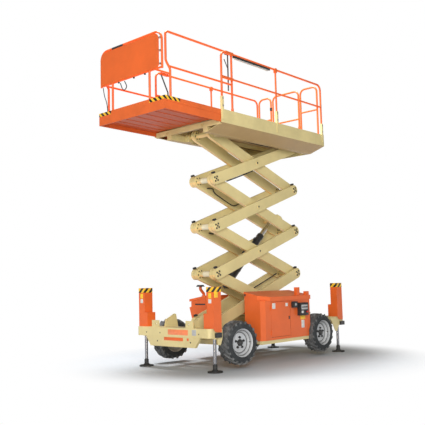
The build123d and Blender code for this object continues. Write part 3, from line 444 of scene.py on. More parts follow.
@dataclass(frozen=True)
class Rubber:
    """Black or grey rubber with patches of pale dust; on the tyre's tread the paler colour is partly
    painted light.

    Args:
        name: The material's name.
        colour: Rubber colour.
        dust: Dust colour.
        dust_share: Most that the dust covers.
    """

    name: str
    colour: Colour = (0.022, 0.022, 0.024)
    dust: Colour = (0.23, 0.21, 0.18)
    dust_share: float = 0.2

    def make(self) -> bpy.types.Material:
        """Builds the material."""
        shader = Shader(self.name)
        clouds = shader.noise(9.0, 5.0, 0.65)
        grain = shader.noise(240.0, 2.0)
        dusty = clouds.ease(0.42, 0.8) * self.dust_share
        shader.feed("Base Color", shader.blend(dusty, self.colour, self.dust))
        shader.feed("Roughness", 0.62 + 0.25 * clouds)
        shader.bump(grain, 0.0004, 0.5)
        return shader.material


@dataclass(frozen=True)
class Moulded:
    """Moulded plastic or powder coat with a fine grain.

    Args:
        name: The material's name.
        colour: Plastic colour.
        rough: Mean roughness.
    """

    name: str
    colour: Colour
    rough: float = 0.45

    def make(self) -> bpy.types.Material:
        """Builds the material."""
        shader = Shader(self.name)
        clouds = shader.noise(14.0, 3.0)
        paler = tuple(min(1.0, c * 1.18 + 0.004) for c in self.colour)
        shader.feed("Base Color", shader.blend(clouds.ease(0.3, 0.8), self.colour, paler))
        shader.feed("Roughness", self.rough + 0.12 * clouds)
        shader.bump(shader.noise(600.0, 1.0), 0.00015, 0.5)
        return shader.material


@dataclass(frozen=True)
class Hazard:
    """Black and yellow slanting stripes.

    Args:
        name: The material's name.
        pitch: Width of one yellow and one black stripe, measured level.
        shift: Place of the first stripe.
        lean: How far a stripe moves sideways for each metre up.
        yellow: Colour of the pale stripes.
        black: Colour of the dark stripes.
        scuffs: Colour of the worn spots.
    """

    name: str
    pitch: float = 0.125
    shift: float = 0.0
    lean: float = 1.0
    yellow: Colour = (0.92, 0.55, 0.03)
    black: Colour = (0.015, 0.015, 0.015)
    scuffs: Colour = (0.35, 0.3, 0.22)

    def make(self) -> bpy.types.Material:
        """Builds the material."""
        shader = Shader(self.name)
        x, y, z = shader.axes()
        run = (x - y - self.lean * z + self.shift) % self.pitch
        dark = (run / self.pitch) > 0.5
        worn = shader.noise(60.0, 4.0).ease(0.55, 0.8) * 0.25
        stripes = shader.blend(dark, self.yellow, self.black)
        shader.feed("Base Color", shader.blend(worn, stripes, self.scuffs))
        shader.feed("Roughness", 0.35 + 0.3 * worn)
        return shader.material


@dataclass(frozen=True)
class TreadPlate:
    """Painted floor plate with rows of short raised bars, worn along them, and with painted shade on its
    underside.

    Args:
        name: The material's name.
        colour: Paint colour.
        pitch: Distance between bars.
        bar_height: Height of the bars.
        bar_half_width: Half of a bar's width, as a share of the pitch.
        bar_half_length: Half of a bar's length, as a share of the pitch.
        bare: Colour where the paint is worn.
        painted_shade_shares: Shares of red, green and blue of the painted shade on the underside.
    """

    name: str
    colour: Colour
    pitch: float = 0.034
    bar_height: float = 0.0016
    bar_half_width: float = 0.16
    bar_half_length: float = 0.34
    bare: Colour = (0.34, 0.32, 0.29)
    painted_shade_shares: Colour = (0.42, 0.20, 0.14)

    def make(self) -> bpy.types.Material:
        """Builds the material."""
        shader = Shader(self.name)
        x, y, _ = shader.axes()
        up, under = shader.facing()[2] > 0.7, shader.facing()[2] < -0.7
        first = abs(((x + y) % self.pitch) / self.pitch - 0.5)
        second = abs(((x - y) % self.pitch) / self.pitch - 0.5)
        bars = (first < self.bar_half_width) * (second < self.bar_half_length)
        clouds = shader.noise(3.0, 5.0, 0.62)
        scuffs = shader.noise(22.0, 4.0, 0.7).ease(0.55, 0.72)
        wear = (bars * 0.55 + scuffs * 0.4) * up * clouds.ease(0.35, 0.7)
        base = shader.blend(clouds.ease(0.3, 0.75), darker(self.colour, 0.84), self.colour)
        # Painted shade: faces that look down get a darker, redder colour
        shade = tuple(c * share for c, share in zip(self.colour, self.painted_shade_shares))
        base = shader.blend(under * 0.6, base, shade)
        shader.feed("Base Color", shader.blend(wear.clamp(), base, self.bare))
        shader.feed("Roughness", 0.42 + 0.2 * clouds)
        shader.feed("Coat Weight", 0.15 - 0.15 * under)
        shader.bump(bars * up, self.bar_height)
        return shader.material


@dataclass(frozen=True)
class Palette:
    """Every finish of the lift."""

    # The cream and the orange paint carry painted warm light on their undersides
    cream: Paint = Paint("cream_paint", CREAM, painted_underlight=0.85)
    orange: Paint = Paint("orange_paint", (0.83, 0.142, 0.022), dust_share=0.04, coat=0.15, painted_underlight=0.6)
    silver: Paint = Paint("wheel_silver", (0.52, 0.545, 0.575), dust=(0.26, 0.24, 0.21),
                          dust_share=0.35, gloss=0.4, coat=0.1)
    black: Paint = Paint("black_paint", (0.018, 0.02, 0.022), dust=(0.16, 0.14, 0.12),
                         dust_share=0.2, gloss=0.3, coat=0.3)
    casting: Paint = Paint("engine_casting", (0.11, 0.115, 0.12), gloss=0.55, coat=0.0)
    beam_cream: Paint = Paint("beam_cream", CREAM, zones=(Zone(1, 0.8715, INK),))
    filler: Paint = Paint("filler_paint", DECK_ORANGE, zones=(Zone(2, 1.3605, INK),))
    leg: Plunger = Plunger("outrigger_leg")
    pale_orange: Moulded = Moulded("orange_plate", (0.84, 0.24, 0.10), 0.3)
    deck_orange: TreadPlate = TreadPlate("deck_tread_orange", DECK_ORANGE)
    deck_cream: TreadPlate = TreadPlate("deck_tread_cream", CREAM)
    # The tread is paler than the side wall, partly from dust and partly as painted light on the lit tread
    tyre: Rubber = Rubber("tyre_rubber", (0.085, 0.090, 0.096), (0.36, 0.365, 0.36), 0.6)
    tyre_wall: Rubber = Rubber("tyre_wall", (0.026, 0.030, 0.034), (0.12, 0.135, 0.14), 0.35)
    rubber: Rubber = Rubber("black_rubber")
    chrome: Bright = Bright("hard_chrome", Steel.HARD_CHROME)
    zinc: Bright = Bright("zinc_steel", Steel.ZINC)
    plastic: Moulded = Moulded("black_plastic", (0.02, 0.021, 0.023))
    rim_shade: Moulded = Moulded("rim_shade", (0.15, 0.155, 0.16), 0.5)
    pale_cream: Moulded = Moulded("pale_cream_plate", (0.74, 0.68, 0.50), 0.4)
    white_plate: Moulded = Moulded("white_plate", (0.66, 0.66, 0.64), 0.3)
    yellow_plate: Moulded = Moulded("yellow_plate", (0.86, 0.52, 0.03), 0.3)
    grey_plate: Moulded = Moulded("grey_plate", (0.42, 0.43, 0.44), 0.35)
    red_knob: Moulded = Moulded("red_knob", (0.55, 0.02, 0.015), 0.25)
    hazard: Hazard = Hazard("hazard_stripes")
    hazard_fine: Hazard = Hazard("hazard_stripes_fine", pitch=0.11, shift=0.10, lean=-1.0)
    dark_seam: Moulded = Moulded("dark_seam", (0.25, 0.05, 0.02), 0.6)

    def dress(self) -> dict[str, bpy.types.Material]:
        """Builds every finish.

        Returns:
            The materials by field name.
        """
        return {key: getattr(self, key).make() for key in self.__dataclass_fields__}


FINISH = Palette().dress()


# Mesh building


def linked(name: str, data: bpy.types.ID) -> bpy.types.Object:
    """A new object of some data, linked to the scene."""
    item = bpy.data.objects.new(name, data)
    bpy.context.scene.collection.objects.link(item)
    return item


class Former:
    """Builds one piece with mesh operators and hands it over to a body.

    Args:
        name: The piece's name.
        finishes: Names of its finishes; the first is in use until another is picked.
    """

    def __init__(self, name: str, *finishes: str) -> None:
        """Starts an empty piece."""
        self.name = name
        self.finishes = finishes
        self.bm = bmesh.new()
        self.slot = 0

    def _colour(self, verts: Iterable[bmesh.types.BMVert]) -> None:
        """Gives the faces of some vertices the current slot."""
        for face in {f for v in verts for f in v.link_faces}:
            face.material_index = self.slot

    def use(self, finish: str) -> "Former":
        """Picks the finish of the shapes that follow."""
        self.slot = self.finishes.index(finish)
        return self

    def block(self, low: Point, high: Point, bevel: float = 0.0) -> None:
        """Box with rounded edges.

        Args:
            low: Lowest corner.
            high: Highest corner.
            bevel: Edge radius.
        """
        centre = (Vector(low) + Vector(high)) / 2
        size = Vector(high) - Vector(low)
        place = Matrix.Translation(centre) @ Matrix.Diagonal((*size, 1.0))
        self._round(bmesh.ops.create_cube(self.bm, size=1.0, matrix=place)["verts"], bevel)

    def _round(self, verts: list[bmesh.types.BMVert], bevel: float) -> None:
        """Bevels the sharp edges of a new shape and gives it the current slot.

        Args:
            verts: The shape's vertices.
            bevel: Edge radius, 0 for none.
        """
        if bevel:
            edges = [e for e in {e for v in verts for e in v.link_edges}
                     if len(e.link_faces) == 2 and e.calc_face_angle() > SHARP_ANGLE]
            rounded = bmesh.ops.bevel(self.bm, geom=edges, offset=bevel, offset_type="OFFSET",
                                      segments=BEVEL_SEGMENTS, profile=0.5, affect="EDGES", material=-1,
                                      clamp_overlap=True)
            verts = list({v for f in rounded["faces"] for v in f.verts} | {v for v in verts if v.is_valid})
            verts = self._joined(verts)
        self._colour(verts)

    @staticmethod
    def _joined(verts: list[bmesh.types.BMVert]) -> list[bmesh.types.BMVert]:
        """Every vertex that is joined to some vertices."""
        found, queue = set(verts), list(verts)
        while queue:
            for edge in queue.pop().link_edges:
                for vert in edge.verts:
                    if vert not in found:
                        found.add(vert)
                        queue.append(vert)
        return list(found)

    def bar(self, start: Point, end: Point, radius: float, end_radius: Optional[float] = None,
            sides: int = 20, bevel: float = 0.0) -> None:
        """Round bar or cone between two points.

        Args:
            start: First end's centre.
            end: Second end's centre.
            radius: Radius at the start.
            end_radius: Radius at the end, if it differs.
            sides: Number of sides.
            bevel: Edge radius.
        """
        axis = Vector(end) - Vector(start)
        middle = Matrix.Translation((Vector(start) + Vector(end)) / 2)
        place = middle @ axis.to_track_quat("Z", "Y").to_matrix().to_4x4()
        cone = bmesh.ops.create_cone(self.bm, cap_ends=True, cap_tris=False, segments=sides, radius1=radius,
                                     radius2=radius if end_radius is None else end_radius,
                                     depth=axis.length, matrix=place)
        self._round(cone["verts"], bevel)

    def nut(self, centre: Point, axis: Point, across: float, height: float) -> None:
        """Hexagon head with a small washer under it.

        Args:
            centre: Where the head's seat is.
            axis: Direction that the head stands up in.
            across: Width across corners.
            height: Head height.
        """
        out = Vector(axis).normalized()
        foot = Vector(centre)
        washer_top = foot + out * height * WASHER_HEIGHT
        self.bar(foot, washer_top, across * WASHER_RADIUS, sides=16)
        self.bar(washer_top, foot + out * height, across / 2, sides=6, bevel=height * NUT_CHAMFER)

    def lathe(self, profile: Sequence[tuple[float, float]], steps: int) -> None:
        """Shape turned about Z from a closed profile.

        Args:
            profile: Radius and height of each corner, round the section.
            steps: Steps of the full turn.
        """
        corners = [self.bm.verts.new((r, 0.0, z)) for r, z in profile]
        edges = [self.bm.edges.new((a, b)) for a, b in zip(corners, corners[1:] + corners[:1])]
        before = set(self.bm.verts)
        bmesh.ops.spin(self.bm, geom=corners + edges, cent=(0, 0, 0), axis=(0, 0, 1), angle=math.tau,
                       steps=steps, use_merge=True, use_duplicate=False)
        self._colour(corners + [v for v in self.bm.verts if v not in before])

    def hose(self, points: Sequence[Point], radius: float) -> None:
        """Round hose on one smooth line.

        Args:
            points: Control points of the line.
            radius: Hose radius.
        """
        curve = bpy.data.curves.new(self.name + "_line", "CURVE")
        curve.dimensions = "3D"
        spline = curve.splines.new("NURBS")
        spline.points.add(len(points) - 1)
        for control, point in zip(spline.points, points):
            control.co = (*point, 1.0)
        spline.order_u = 3
        spline.use_endpoint_u = True
        spline.resolution_u = HOSE_STEPS
        curve.bevel_depth = radius
        curve.bevel_resolution = HOSE_ROUNDING
        curve.use_fill_caps = True
        holder = bpy.data.objects.new(self.name + "_line", curve)
        mesh = bpy.data.meshes.new_from_object(holder)
        before = set(self.bm.verts)
        self.bm.from_mesh(mesh)
        self._colour([v for v in self.bm.verts if v not in before])
        bpy.data.objects.remove(holder)
        bpy.data.curves.remove(curve)
        bpy.data.meshes.remove(mesh)

    def mirror_y(self) -> None:
        """Adds the mirror image across the centre plane."""
        geometry = self.bm.verts[:] + self.bm.edges[:] + self.bm.faces[:]
        copied = bmesh.ops.duplicate(self.bm, geom=geometry)["geom"]
        verts = [g for g in copied if isinstance(g, bmesh.types.BMVert)]
        faces = [g for g in copied if isinstance(g, bmesh.types.BMFace)]
        bmesh.ops.scale(self.bm, vec=(1.0, -1.0, 1.0), verts=verts)
        bmesh.ops.reverse_faces(self.bm, faces=faces)

    def move(self, place: Matrix) -> None:
        """Carries every shape so far from its own frame to the row frame."""
        bmesh.ops.transform(self.bm, matrix=place, verts=self.bm.verts)

    def done(self, body: str, smooth: float = SHARP_ANGLE) -> bpy.types.Object:
        """Turns the shapes into a piece that rides on a body.

        Args:
            body: The CAD body's name.
            smooth: Largest angle between faces that are shaded as one.

        Returns:
            The piece.
        """
        bmesh.ops.remove_doubles(self.bm, verts=self.bm.verts, dist=MERGE_DISTANCE)
        bmesh.ops.recalc_face_normals(self.bm, faces=self.bm.faces)
        mesh = bpy.data.meshes.new(self.name)
        self.bm.to_mesh(mesh)
        self.bm.free()
        for finish in self.finishes:
            mesh.materials.append(FINISH[finish])
        mesh.shade_smooth()
        mesh.set_sharp_from_angle(angle=smooth)
        piece = linked(self.name, mesh)
        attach(piece, body)
        LOG.info("%s on %s: %d faces", self.name, body, len(mesh.polygons))
        return piece


# Names and sizes that several sub-assemblies share


class Side(Enum):
    """The machine's sides, with the sign of their Y."""

    NEAR = -1
    FAR = 1

    def label(self) -> str:
        """The side's name, as in the node names."""
        return self.name.lower()

    def span(self, inner: float, outer: float) -> list[float]:
        """Lowest and highest Y between two distances from the middle plane, on this side."""
        return sorted((self.value * inner, self.value * outer))


class Arm(Enum):
    """The arms of a crossed pair, named as their bodies are."""

    OUTER = "outer"
    INNER = "inner"

    def body(self, stage: int) -> str:
        """Name of the body of one stage's arms."""
        return f"{self.value}_{stage}"


@dataclass(frozen=True)
class Lift:
    """Main places of the lift.

    Args:
        front_leg_x: Place of the front outrigger legs.
        rear_leg_x: Place of the rear outrigger legs.
        cover_half_x: Half of a leg cover's length.
        cover_y0: Inner side of a leg cover, from the middle plane.
        cover_y1: Outer side of a leg cover, from the middle plane.
        cover_top: Height of the leg covers.
        front_axle_x: Place of the front wheels.
        rear_axle_x: Place of the rear wheels.
        axle_z: Height of the wheels' centres.
        front_pin_x: Place of the arms' front end pins.
        rear_pin_x: Place of the arms' rear end pins.
        row_0_z: Height of the lowest row of end pins.
        row_pitch: Height from one row of end pins to the next.
        outer_y1: Outer face of the outer arms, from the middle plane.
        arm_half: Half of an arm's depth.
        kingpin_y: Place of the kingpins, from the middle plane.
        steer_rest: Degrees that the front wheels are turned by at rest.
    """

    front_leg_x: float = -1.40435
    rear_leg_x: float = 2.26265
    cover_half_x: float = 0.094
    cover_y0: float = 0.745
    cover_y1: float = 0.895
    cover_top: float = 1.365
    front_axle_x: float = -0.80935
    rear_axle_x: float = 1.56065
    axle_z: float = 0.431
    front_pin_x: float = -0.68035
    rear_pin_x: float = 1.70665
    row_0_z: float = 0.743
    row_pitch: float = 0.844
    outer_y1: float = 0.285
    arm_half: float = 0.1
    kingpin_y: float = 0.6
    steer_rest: float = -6.5

    def row(self, number: int) -> float:
        """Height of a row of end pins."""
        return self.row_0_z + number * self.row_pitch

    def slope(self) -> float:
        """Angle of the arms above level."""
        return math.atan2(self.row_pitch, self.rear_pin_x - self.front_pin_x)

    def arm(self, kind: Arm, stage: int) -> Matrix:
        """Frame of an arm: X runs from its front pin to its rear pin.

        Args:
            kind: An outer arm rises to the rear, an inner one falls to the rear.
            stage: The pair's number from the ground.

        Returns:
            The frame.
        """
        row, turn = (stage - 1, -self.slope()) if kind is Arm.OUTER else (stage, self.slope())
        pin = Matrix.Translation((self.front_pin_x, 0, self.row(row)))
        return pin @ Matrix.Rotation(turn, 4, "Y")

    def arm_length(self) -> float:
        """Distance between an arm's end pins."""
        return math.hypot(self.rear_pin_x - self.front_pin_x, self.row_pitch)


LIFT = Lift()


# Wheels


@dataclass
class Wheel:
    """Lugged tyre, wheel nuts and hub of one wheel.

    Args:
        name: Which wheel, as in the node names.
        x: Axle's place along the machine.
        side: Side of the machine.
        steer: Degrees that the wheel is turned by about its kingpin.
        lug_radius: Radius over the lugs.
        tread_radius: Radius of the tread between the lugs.
        rim_radius: Radius of the rim's edge.
        width: Width of the tyre.
        face_y: Outer face of the tyre, from the middle plane.
        lugs: Number of lugs in a row.
        nuts: Number of wheel nuts.
        nut_circle: Radius of the circle that the nuts stand on.
        disc_z: Height of the rim's disc, below 0 at the tyre's outer face.
        wall_margin: How far under the tread the darker side wall starts.
        dark_steps: Radius and height of each corner of the rings of painted shade on the rim's steps.
    """

    name: str
    x: float
    side: Side
    steer: float = 0.0
    lug_radius: float = 0.364
    tread_radius: float = 0.342
    rim_radius: float = 0.243
    width: float = 0.258
    face_y: float = 0.948
    lugs: int = 19
    nuts: int = 5
    nut_circle: float = 0.088
    disc_z: float = -0.086
    wall_margin: float = 0.004
    dark_steps: tuple[tuple[tuple[float, float], ...], ...] = (
        ((0.2130, -0.0388), (0.1985, -0.0448)),
        ((0.1785, -0.0845), (0.1740, -0.0928), (0.1600, -0.0868)),
    )

    def place(self) -> Matrix:
        """Frame of the wheel: Z points outward."""
        sign = self.side.value
        pivot = Matrix.Translation((self.x, sign * LIFT.kingpin_y, 0.0))
        turned = pivot @ Matrix.Rotation(math.radians(self.steer), 4, "Z") @ pivot.inverted()
        face = Matrix.Translation((self.x, sign * self.face_y, LIFT.axle_z))
        return turned @ face @ Matrix.Rotation(math.radians(-90.0 * sign), 4, "X")

    def build(self) -> None:
        """Makes the tyre and the hub's fittings."""
        self.tyre()
        self.hub()

    def tyre(self) -> None:
        """Carcass with two staggered rows of bar lugs."""
        form = Former(f"tyre_{self.name}_lugged", "tyre", "tyre_wall")
        r, tread, half = self.rim_radius, self.tread_radius, self.width / 2
        side = [(r - 0.016, -0.017), (r + 0.0005, -0.0105), (r + 0.0005, -0.0009), (r - 0.011, -0.0009),
                (r - 0.011, -0.0002), (r + 0.022, -0.0002), (r + 0.030, -0.004), (r + 0.036, -0.0008),
                (r + 0.060, -0.0042), (r + 0.066, -0.009), (tread - 0.014, -0.012),
                (tread - 0.003, -0.024), (tread, -0.05), (tread + 0.002, -half)]
        back = [(radius, -self.width - z) for radius, z in reversed(side[:-1])]
        inside = [(r - 0.017, -self.width + 0.03), (r - 0.017, -0.03)]
        form.lathe(side + back + inside, steps=72)
        # Faces inside the tread take the darker side wall's finish; the paler tread is partly painted light
        for face in form.bm.faces:
            centre = face.calc_center_median()
            face.material_index = int(math.hypot(centre.x, centre.y) < tread - self.wall_margin)
        mesh = bpy.data.meshes.new("lug")
        step = Matrix.Rotation(math.tau / self.lugs, 4, "Z")
        for row in (0, 1):
            lug = self.lug(row)
            for _ in range(self.lugs):
                lug.to_mesh(mesh)
                form.bm.from_mesh(mesh)
                bmesh.ops.transform(lug, matrix=step, verts=lug.verts)
            lug.free()
        bpy.data.meshes.remove(mesh)
        form.move(self.place())
        piece = form.done(f"wheel_{self.name}", smooth=0.5)
        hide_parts(f"tyre_{self.name}")

    def lug(self, row: int) -> bmesh.types.BMesh:
        """One bar lug, bent round the tread.

        A unit block is drawn out along the tread's width. It widens, sweeps back and drops
        towards the shoulder, and its sides slope in towards the top.

        Args:
            row: 0 for the outer half of the tread, 1 for the inner.

        Returns:
            Its mesh.
        """
        middle_width, widening, side_slope = 0.030, 0.014, 0.28
        lean, curl, sweep_scale = 0.17, 0.16, 1.05
        shoulder_start, shoulder_drop, root_drop = 0.78, 0.014, 0.02
        top_reach, root_reach, middle_overlap = 0.955, 0.965, 0.010
        reach = self.width / 2 + 0.006
        turn = math.pi * row / self.lugs
        single = bmesh.new()
        bmesh.ops.create_cube(single, size=1.0, matrix=Matrix.Translation((0.0, 0.0, 0.5)))
        edges = [e for e in single.edges if abs((e.verts[0].co - e.verts[1].co).x) > 0.5]
        bmesh.ops.subdivide_edges(single, edges=edges, cuts=4, use_grid_fill=True)
        for vert in single.verts:
            on_top = vert.co.z > 0.5
            along = vert.co.x + 0.5
            across = vert.co.y * (middle_width + widening * along) * (1.0 - side_slope * vert.co.z)
            sweep = (lean * along + curl * along * along) * sweep_scale
            angle = turn + sweep + across / self.tread_radius
            shoulder = max(0.0, along - shoulder_start) / (1.0 - shoulder_start)
            top = self.lug_radius - 0.001 - shoulder_drop * shoulder ** 2 - 0.002 * (1 - along)
            radius = top if on_top else self.tread_radius - 0.012 - root_drop * shoulder
            depth = along * reach * (top_reach if on_top else root_reach)
            z = -self.width / 2 + (depth - middle_overlap) * (1 if row == 0 else -1)
            vert.co = (radius * math.cos(angle), radius * math.sin(angle), z)
        return single

    def hub(self) -> None:
        """Hub cap, wheel nuts, rings of painted shade on the rim's steps, and valve."""
        form = Former(f"hub_{self.name}", "black", "rubber", "rim_shade")
        disc = self.disc_z
        form.bar((0, 0, disc + 0.006), (0, 0, disc + 0.0315), 0.060, 0.053, sides=32, bevel=0.002)
        form.bar((0, 0, disc + 0.031), (0, 0, disc + 0.043), 0.040, 0.034, sides=28, bevel=0.003)
        for step in range(self.nuts):
            angle = math.tau * (step + 0.25) / self.nuts
            x, y = self.nut_circle * math.cos(angle), self.nut_circle * math.sin(angle)
            form.bar((x, y, disc - 0.001), (x, y, disc + 0.005), 0.021, sides=20)
            form.nut((x, y, disc + 0.004), (0, 0, 1), 0.036, 0.022)
            form.bar((x, y, disc), (x, y, disc + 0.036), 0.0085, sides=12, bevel=0.001)
        # Thin dark rings of painted shade on the rim's steps
        form.use("rim_shade")
        for front in self.dark_steps:
            back = [(r, z - 0.0009) for r, z in reversed(front)]
            form.lathe([*front, *back], steps=64)
        form.use("rubber").bar((0.196, 0.0, -0.060), (0.203, 0.0, -0.024), 0.006, sides=10, bevel=0.001)
        form.move(self.place())
        form.done(f"wheel_{self.name}")


# Outriggers


@dataclass
class Outriggers:
    """Striped bands and blank plates on the leg covers.

    Args:
        band_height: Height of a band.
        skin: Thickness of a band.
        ends: Name and place of the front and the rear legs.
    """

    band_height: float = 0.078
    skin: float = 0.0012
    ends: tuple[tuple[str, float], ...] = (("front", LIFT.front_leg_x), ("rear", LIFT.rear_leg_x))

    def build(self) -> None:
        """Makes every fitting of the covers."""
        for end, x in self.ends:
            for side in Side:
                self.band(f"{end}_{side.label()}", x, side)
        self.plates()

    def band(self, name: str, x: float, side: Side) -> None:
        """Striped band round one cover's top.

        Args:
            name: Which cover.
            x: The leg's place.
            side: Side of the machine.
        """
        form = Former(f"hazard_band_{name}", "hazard")
        top = LIFT.cover_top - 0.002
        low = top - self.band_height
        y0, y1 = side.span(LIFT.cover_y0, LIFT.cover_y1)
        x0, x1, t = x - LIFT.cover_half_x, x + LIFT.cover_half_x, self.skin
        form.block((x0 - t, y0 - t, low), (x0, y1 + t, top))
        form.block((x1, y0 - t, low), (x1 + t, y1 + t, top))
        form.block((x0, y0 - t, low), (x1, y0, top))
        form.block((x0, y1, low), (x1, y1 + t, top))
        form.done("chassis")

    def plates(self) -> None:
        """Blank plates on the front covers."""
        form = Former("outrigger_plates", "yellow_plate", "white_plate")
        front = LIFT.front_leg_x - LIFT.cover_half_x
        skin_x = front - PLATE_SKIN
        for side in Side:
            y0, y1 = side.span(0.786, 0.852)
            form.use("white_plate").block((skin_x, y0, 1.105), (front, y1, 1.172), PLATE_EDGE)
            form.use("yellow_plate").block((skin_x, y0, 1.185), (front, y1, 1.268), PLATE_EDGE)
            y0, y1 = side.span(LIFT.cover_y1, LIFT.cover_y1 + PLATE_SKIN)
            form.block((front + 0.022, y0, 1.195), (front + 0.110, y1, 1.285), PLATE_EDGE)
        form.done("chassis")


# Scissor stack


@dataclass
class ArmFittings:
    """Pin plates, nuts, rest pads, tube labels and hoses of the crossed arms.

    Args:
        stages: Number of crossed pairs, from the ground up.
        bolts: Number of nuts on a pin plate.
        bolt_ring: Radius of the ring that they stand on.
        flange_nuts: Number of nuts on a cross tube's flange.
        flange_ring: Radius of the ring that they stand on.
        flange_y: Face of the flange, from the middle plane.
        tube_radius: Radius of the cross tubes.
        hoses: Kind of arm, stage, hose radius and control points in the arm's frame.
    """

    stages: int = 4
    bolts: int = 4
    bolt_ring: float = 0.047
    flange_nuts: int = 6
    flange_ring: float = 0.066
    flange_y: float = 0.1407
    tube_radius: float = 0.05
    hoses: tuple[tuple[Arm, int, float, tuple[Point, ...]], ...] = (
        (Arm.OUTER, 4, 0.012, ((0.30, -0.255, -0.116), (0.72, -0.255, -0.124), (1.10, -0.255, -0.116))),
        (Arm.INNER, 3, 0.010, ((0.25, 0.143, -0.028), (0.40, 0.143, 0.055), (0.42, 0.143, -0.03),
                               (0.70, 0.143, -0.045), (0.97, 0.143, -0.055), (1.08, 0.143, -0.03),
                               (1.18, 0.143, 0.07))),
        (Arm.INNER, 2, 0.014, ((0.26, 0.140, -0.003), (0.32, 0.140, 0.004), (0.376, 0.140, 0.024))),
        (Arm.OUTER, 2, 0.012, ((1.17, 0.142, -0.062), (1.28, 0.142, -0.060), (1.40, 0.142, -0.052))),
        (Arm.OUTER, 1, 0.011, ((1.50, 0.143, 0.035), (1.95, 0.143, 0.030), (2.40, 0.143, 0.045))),
    )

    def build(self) -> None:
        """Makes the fittings of every stage, and the hoses."""
        for stage in range(1, self.stages + 1):
            self.outer(stage)
            self.inner(stage)
        for kind, stage, radius, points in self.hoses:
            form = Former(f"arm_hose_{kind.body(stage)}", "rubber")
            form.hose(points, radius)
            form.move(LIFT.arm(kind, stage))
            form.done(kind.body(stage), smooth=HOSE_SMOOTH)

    @staticmethod
    def nut_ring(form: Former, centre: Point, side: Side, count: int, radius: float, across: float,
                 height: float) -> None:
        """Ring of nuts round a pin.

        Args:
            form: The piece that it belongs to.
            centre: Middle of the ring, on the face that the nuts stand on.
            side: Side that the nuts point to.
            count: Number of nuts.
            radius: Radius of the ring.
            across: A nut's width across corners.
            height: A nut's height.
        """
        x, y, z = centre
        for step in range(count):
            angle = math.tau * (step + 0.5) / count
            seat = (x + radius * math.cos(angle), y, z + radius * math.sin(angle))
            form.nut(seat, (0, side.value, 0), across, height)

    def head(self, form: Former, x: float) -> None:
        """Round plate with its nuts at the outer end of one pin.

        Args:
            form: The piece that it belongs to.
            x: The pin's place along the arm.
        """
        y = -LIFT.outer_y1
        form.use("cream").bar((x, y + 0.001, 0), (x, y - 0.007, 0), 0.066, sides=36, bevel=0.002)
        form.use("black").bar((x, y - 0.011, 0), (x, y - 0.016, 0), 0.019, sides=20, bevel=0.002)
        self.nut_ring(form, (x, y - 0.006, 0.0), Side.NEAR, self.bolts, self.bolt_ring, 0.030, 0.012)

    def outer(self, stage: int) -> None:
        """Fittings of one outer pair.

        The lowest pair's front pins and the highest pair's rear pins have no plates, and the
        highest pair has no rest pads at its rear end.

        Args:
            stage: The pair's number from the ground.
        """
        form = Former(f"outer_fittings_{stage}", "cream", "black", "rubber")
        length = LIFT.arm_length()
        front = [] if stage == 1 else [0.0]
        rear = [] if stage == self.stages else [length]
        for x in front + rear:
            self.head(form, x)
        middle = length / 2
        form.use("black").bar((middle, -0.292, 0), (middle, -0.297, 0), 0.018, sides=20, bevel=0.002)
        pad_base, pad_top = LIFT.arm_half + 0.001, LIFT.arm_half + 0.0355
        for x in [0.0] + rear:
            form.use("rubber").block((x - 0.027, -0.282, pad_base), (x + 0.027, -0.228, pad_top), 0.004)
        form.mirror_y()
        form.move(LIFT.arm(Arm.OUTER, stage))
        form.done(Arm.OUTER.body(stage))

    def inner(self, stage: int) -> None:
        """Fittings of one inner pair.

        Args:
            stage: The pair's number from the ground.
        """
        form = Former(f"inner_fittings_{stage}", "black", "pale_cream")
        for x in (0.0, LIFT.arm_length()):
            centre = (x, -self.flange_y, 0.0)
            self.nut_ring(form, centre, Side.FAR, self.flange_nuts, self.flange_ring, 0.020, 0.010)
        form.mirror_y()
        if stage < self.stages:
            label_radius = self.tube_radius + 0.001
            form.use("pale_cream").bar((0.0, -0.115, 0.0), (0.0, 0.05, 0.0), label_radius, sides=40)
        form.move(LIFT.arm(Arm.INNER, stage))
        form.done(Arm.INNER.body(stage))


@dataclass
class CylinderFittings:
    """Ports, pipe and bands of the lift cylinder.

    Args:
        foot_s: Place of the foot pin along the lowest inner arms.
        foot_drop: How far the foot pin lies under the arms' middle line.
        eye_s: Place of the eye along the third inner arms, from their rear pin.
        eye_rise: How far the eye lies over the arms' middle line.
        barrel_radius: Radius of the barrel.
        bands: Places of the bands along the barrel.
        band_width: Width of a band.
    """

    foot_s: float = 0.575
    foot_drop: float = 0.015
    eye_s: float = 0.5
    eye_rise: float = 0.05
    barrel_radius: float = 0.062
    bands: tuple[float, ...] = (0.42, 0.80, 1.18)
    band_width: float = 0.03

    def place(self) -> Matrix:
        """Frame of the cylinder: X runs from the foot pin to the eye."""
        foot = LIFT.arm(Arm.INNER, 1) @ Vector((self.foot_s, 0.0, -self.foot_drop))
        eye = LIFT.arm(Arm.INNER, 3) @ Vector((LIFT.arm_length() - self.eye_s, 0.0, self.eye_rise))
        run = eye - foot
        return Matrix.Translation(foot) @ Matrix.Rotation(-math.atan2(run.z, run.x), 4, "Y")

    def build(self) -> None:
        """Makes the barrel's fittings."""
        form = Former("cylinder_fittings", "black", "zinc")
        r = self.barrel_radius
        for x in self.bands:
            form.bar((x, 0, 0), (x + self.band_width, 0, 0), r + 0.004, sides=40, bevel=0.001)
        form.block((0.12, -0.034, r - 0.012), (0.22, 0.034, r + 0.03), 0.004)
        form.bar((0.20, 0.0, r + 0.014), (1.22, 0.0, r + 0.014), 0.009, sides=14)
        form.block((1.20, -0.022, r - 0.012), (1.26, 0.022, r + 0.03), 0.003)
        for y in (-0.018, 0.018):
            form.use("zinc").nut((0.17, y, r + 0.03), (0, 0, 1), 0.022, 0.012)
        form.move(self.place())
        form.done("barrel")


# Platform


